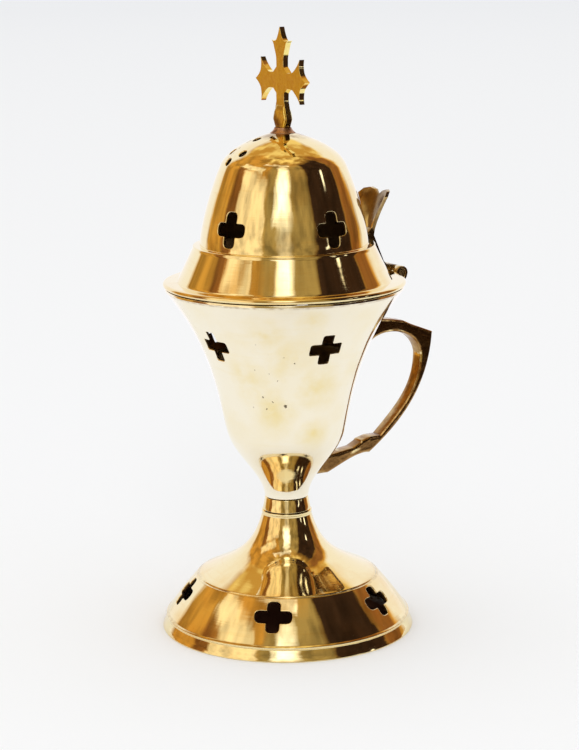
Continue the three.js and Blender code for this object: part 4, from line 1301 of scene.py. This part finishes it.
def make_handle():
    bm = flat_casting(handle_outline(), HANDLE_WIDTH, HANDLE_BEVEL, segments=3)
    slice_up(bm, HANDLE_SLICES)
    tidy(bm)
    piece = settle(bm, "cast_handle", "base", cast, ["handle"])
    shade_by_angle(piece, CASTING_SHARP)


make_handle()

# %% [markdown]
# The cross is sawn from plate: each arm swells into two barbs with a point between them. Its outline is
# drawn for half of the cross and mirrored, and it stands on a thicker foot that is soldered to the dome. The
# foot's upper end is thinned towards the plate, because a ledge there would catch the light as a white line.
# Inside the dome it is held by a tenon with a flat head.

# %% Cross
SIDE_ROOT = [(4.4, 2.6), (7.4, 2.7), (9.8, 4.2), (11.6, 5.9), (12.4, 7.1)]
SIDE_POINT = [(12.4, 7.1), (12.1, 5.2), (12.6, 2.8), (14.1, 1.2), (15.9, 0)]
TOP_ROOT = [(4.4, 2.2), (7.4, 2.3), (9.8, 3.2), (11.9, 4.1), (12.8, 5.1)]
TOP_POINT = [(12.8, 5.1), (12.6, 3.6), (13.0, 2.2), (14.9, 0.9), (17.1, 0)]
FOOT_ARM = [(15.9, 2.2), (12.4, 4.2), (10.0, 3.4), (6.6, 2.4), (4.1, 2.5)]
FOOT_KNOB = [(15.9, 2.2), (12.4, 4.0), (10.0, 3.2), (7.6, 2.4)]
PLATE_WIDTH, PLATE_BEVEL = 1.9, 0.12
KNOB_WIDTH, KNOB_BEVEL = 3.2, 0.7
KNOB_TAPER = 0.44
CROSS_SLICES = 1.2
CURVE_STEPS = 3
TENON_HEAD = (2.6, 2.7, 2.4)
TENON_RADIUS = 1.4


def smooth_through(points):
    """A smooth curve through all the points. Each point's direction runs between its neighbours."""
    made = []
    for i in range(len(points) - 1):
        start, end = Vector(points[i]), Vector(points[i + 1])
        leave = (end - Vector(points[max(i - 1, 0)])) / 6
        arrive = (start - Vector(points[min(i + 2, len(points) - 1)])) / 6
        made += curve(tuple(start), [tuple(leave), tuple(arrive)], tuple(end), CURVE_STEPS)[:-1]
    return made + [tuple(points[-1])]


def plate_outline(centre):
    """The cross's half outline, climbing from the foot, and its mirror image."""
    half = [(out, centre - down) for down, out in FOOT_ARM]
    side = smooth_through(SIDE_ROOT) + smooth_through(SIDE_POINT)[1:]
    top = smooth_through(TOP_ROOT) + smooth_through(TOP_POINT)[1:]
    half += [(along, centre - out) for along, out in side]
    half += [(along, centre + out) for along, out in side[-2::-1]]
    half += [(out, centre + along) for along, out in top]
    return half + [(-x, z) for x, z in half[-2::-1]]


def make_knob(centre):
    """The thicker foot, with its upper end thinned towards the plate."""
    half = [(out, centre - down) for down, out in FOOT_KNOB]
    bm = flat_casting(half + [(-x, z) for x, z in half[::-1]], KNOB_WIDTH, KNOB_BEVEL, segments=3)
    slice_up(bm, CROSS_SLICES)
    taper_low, taper_top = centre - FOOT_KNOB[2][0], centre - FOOT_KNOB[3][0]
    for vert in bm.verts:
        rise = min(max((vert.co.z - taper_low) / (taper_top - taper_low), 0), 1)
        vert.co.y *= 1 - KNOB_TAPER * rise
    return bm


def make_cross():
    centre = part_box("cross_finial")[1].z / MM - TOP_POINT[-1][0]
    bm = flat_casting(plate_outline(centre), PLATE_WIDTH, PLATE_BEVEL, segments=1)
    slice_up(bm, CROSS_SLICES)
    join(bm, make_knob(centre))
    bmesh.ops.rotate(bm, verts=bm.verts, cent=(0, 0, 0), matrix=Matrix.Rotation(math.pi / 2, 3, "Z"))
    low = heights("cross_finial")[0]
    tenon_top = dome_top + 0.7
    below, middle, above = TENON_HEAD
    spin(bm, [(0, low), (below, low), (middle, low + 0.4), (above, low + 1.0), (TENON_RADIUS, low + 1.0),
              (TENON_RADIUS, tenon_top), (0, tenon_top)])
    tidy(bm)
    piece = settle(bm, "cut_cross", "lid", cut_brass, ["cross_finial"])
    shade_by_angle(piece, CASTING_SHARP)


make_cross()

# %% [markdown]
# The thumb lever has a two-lobed leaf, hollow towards the dome, on a bar that runs down the skirt to the
# hinge, and the bracket behind the cup carries the hinge's knuckles. Their CAD shapes are already close to
# the real ones, so they are not modelled again: a copy of the node is merged, its flat faces are joined
# again, and every hard edge is bevelled, because an edge on a casting is round enough to catch some light.

# %% Lever and hinge
HARD_EDGE = 35
SOFTENED_SHARP = 40


def copy_of_node(node):
    """A clean copy of a CAD node in millimetres about the axis."""
    bm = bmesh.new()
    bm.from_mesh(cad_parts[node].data)
    to_millimetres = Matrix.Scale(1 / MM, 4) @ Matrix.Translation((-AXIS_X, 0, 0))
    bmesh.ops.transform(bm, matrix=to_millimetres, verts=bm.verts)
    bmesh.ops.remove_doubles(bm, verts=bm.verts, dist=0.002)
    bmesh.ops.dissolve_limit(bm, angle_limit=math.radians(1.0), use_dissolve_boundaries=False,
                             verts=bm.verts, edges=bm.edges)
    return bm


def bevel_hard_edges(bm, offset, degrees):
    hard = [e for e in bm.edges if len(e.link_faces) == 2 and e.calc_face_angle(0) > math.radians(degrees)]
    bmesh.ops.bevel(bm, geom=hard, offset=offset, segments=2, profile=0.5, affect="EDGES",
                    material=-1, clamp_overlap=True, loop_slide=True)


def soften_node(node, name, body, material, offset):
    bm = copy_of_node(node)
    bevel_hard_edges(bm, offset, HARD_EDGE)
    bmesh.ops.triangulate(bm, faces=[f for f in bm.faces if len(f.verts) > 4])
    piece = settle(bm, name, body, material, [node])
    shade_by_angle(piece, SOFTENED_SHARP)


soften_node("hinge_bracket", "hinge_casting", "base", cast, offset=0.25)
soften_node("thumb_lever", "lever_casting", "lid", shaded_lever_brass, offset=0.2)

# %% [markdown]
# The small fixings are plain turned brass and steel, and the solder is a duller, pinkish metal. They are too
# small for wheel lines, so one simple material serves them all: two tones, mixed by a fine noise.

# %% Plain metals
def plain_metal(name, base, dark, roughness):
    material, tree, shader = new_material(name, {"Metallic": 1.0})
    place = add(tree, "TexCoord").outputs["Object"]
    cloud = noise(tree, place, 600.0, 5.0)
    dull = remap(tree, cloud, 0.42, 0.68)
    colour = mix(tree, dull, base, dark)
    rough = remap(tree, dull, 0.0, 1.0, roughness, roughness + 0.25)
    connect(tree, shader, colour, rough, bump(tree, cloud, 0.00003, strength=0.5))
    return material


fixing = plain_metal("fixing_brass", base=(0.74, 0.56, 0.26), dark=(0.36, 0.22, 0.09), roughness=0.22)
steel = plain_metal("plain_steel", base=(0.62, 0.61, 0.59), dark=(0.30, 0.28, 0.26), roughness=0.30)
solder = plain_metal("solder", base=(0.62, 0.36, 0.22), dark=(0.24, 0.12, 0.06), roughness=0.36)
print("materials", len(bpy.data.materials))

# %% [markdown]
# The solder ran round the foot of the cross and lies as a small fillet on the crown. A torus would stand
# off the dome, so its outline follows the crown below and the cross's foot inside, and is spun once round.

# %% Solder
FILLET_BORE = 2.2


def make_solder():
    ring_top = heights("solder_ring")[1]
    reach = widest("solder_ring")
    on_crown = [place for place in crown if FILLET_BORE + 0.2 < place[0] < reach]
    outside = quadratic((2.75, ring_top), (2.9, dome_top + 0.3), on_crown[0], 8)
    bm = bmesh.new()
    spin(bm, on_crown + [(FILLET_BORE, dome_top - 0.05), (FILLET_BORE, ring_top)] + outside[:-1], closed=True)
    tidy(bm)
    settle(bm, "solder_fillet", "lid", solder, ["solder_ring"])


make_solder()

# %% [markdown]
# Screws, rivets, the pin, the bolt, its washer and its nut are hardly seen or hidden. They keep the meshes of
# the CAD model, and only get a worn finish.

# %% Fixings
KEPT = {
    fixing: ["handle_screw_upper", "handle_screw_lower", "bracket_rivet_left", "bracket_rivet_right",
             "hinge_pin", "lever_rivet_lower", "lever_rivet_upper"],
    steel: ["stem_bolt", "stem_washer", "stem_nut"],
}
for material, nodes in KEPT.items():
    for node in nodes:
        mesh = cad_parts[node].data
        mesh.materials.clear()
        mesh.materials.append(material)
print("kept nodes", sum(len(nodes) for nodes in KEPT.values()))
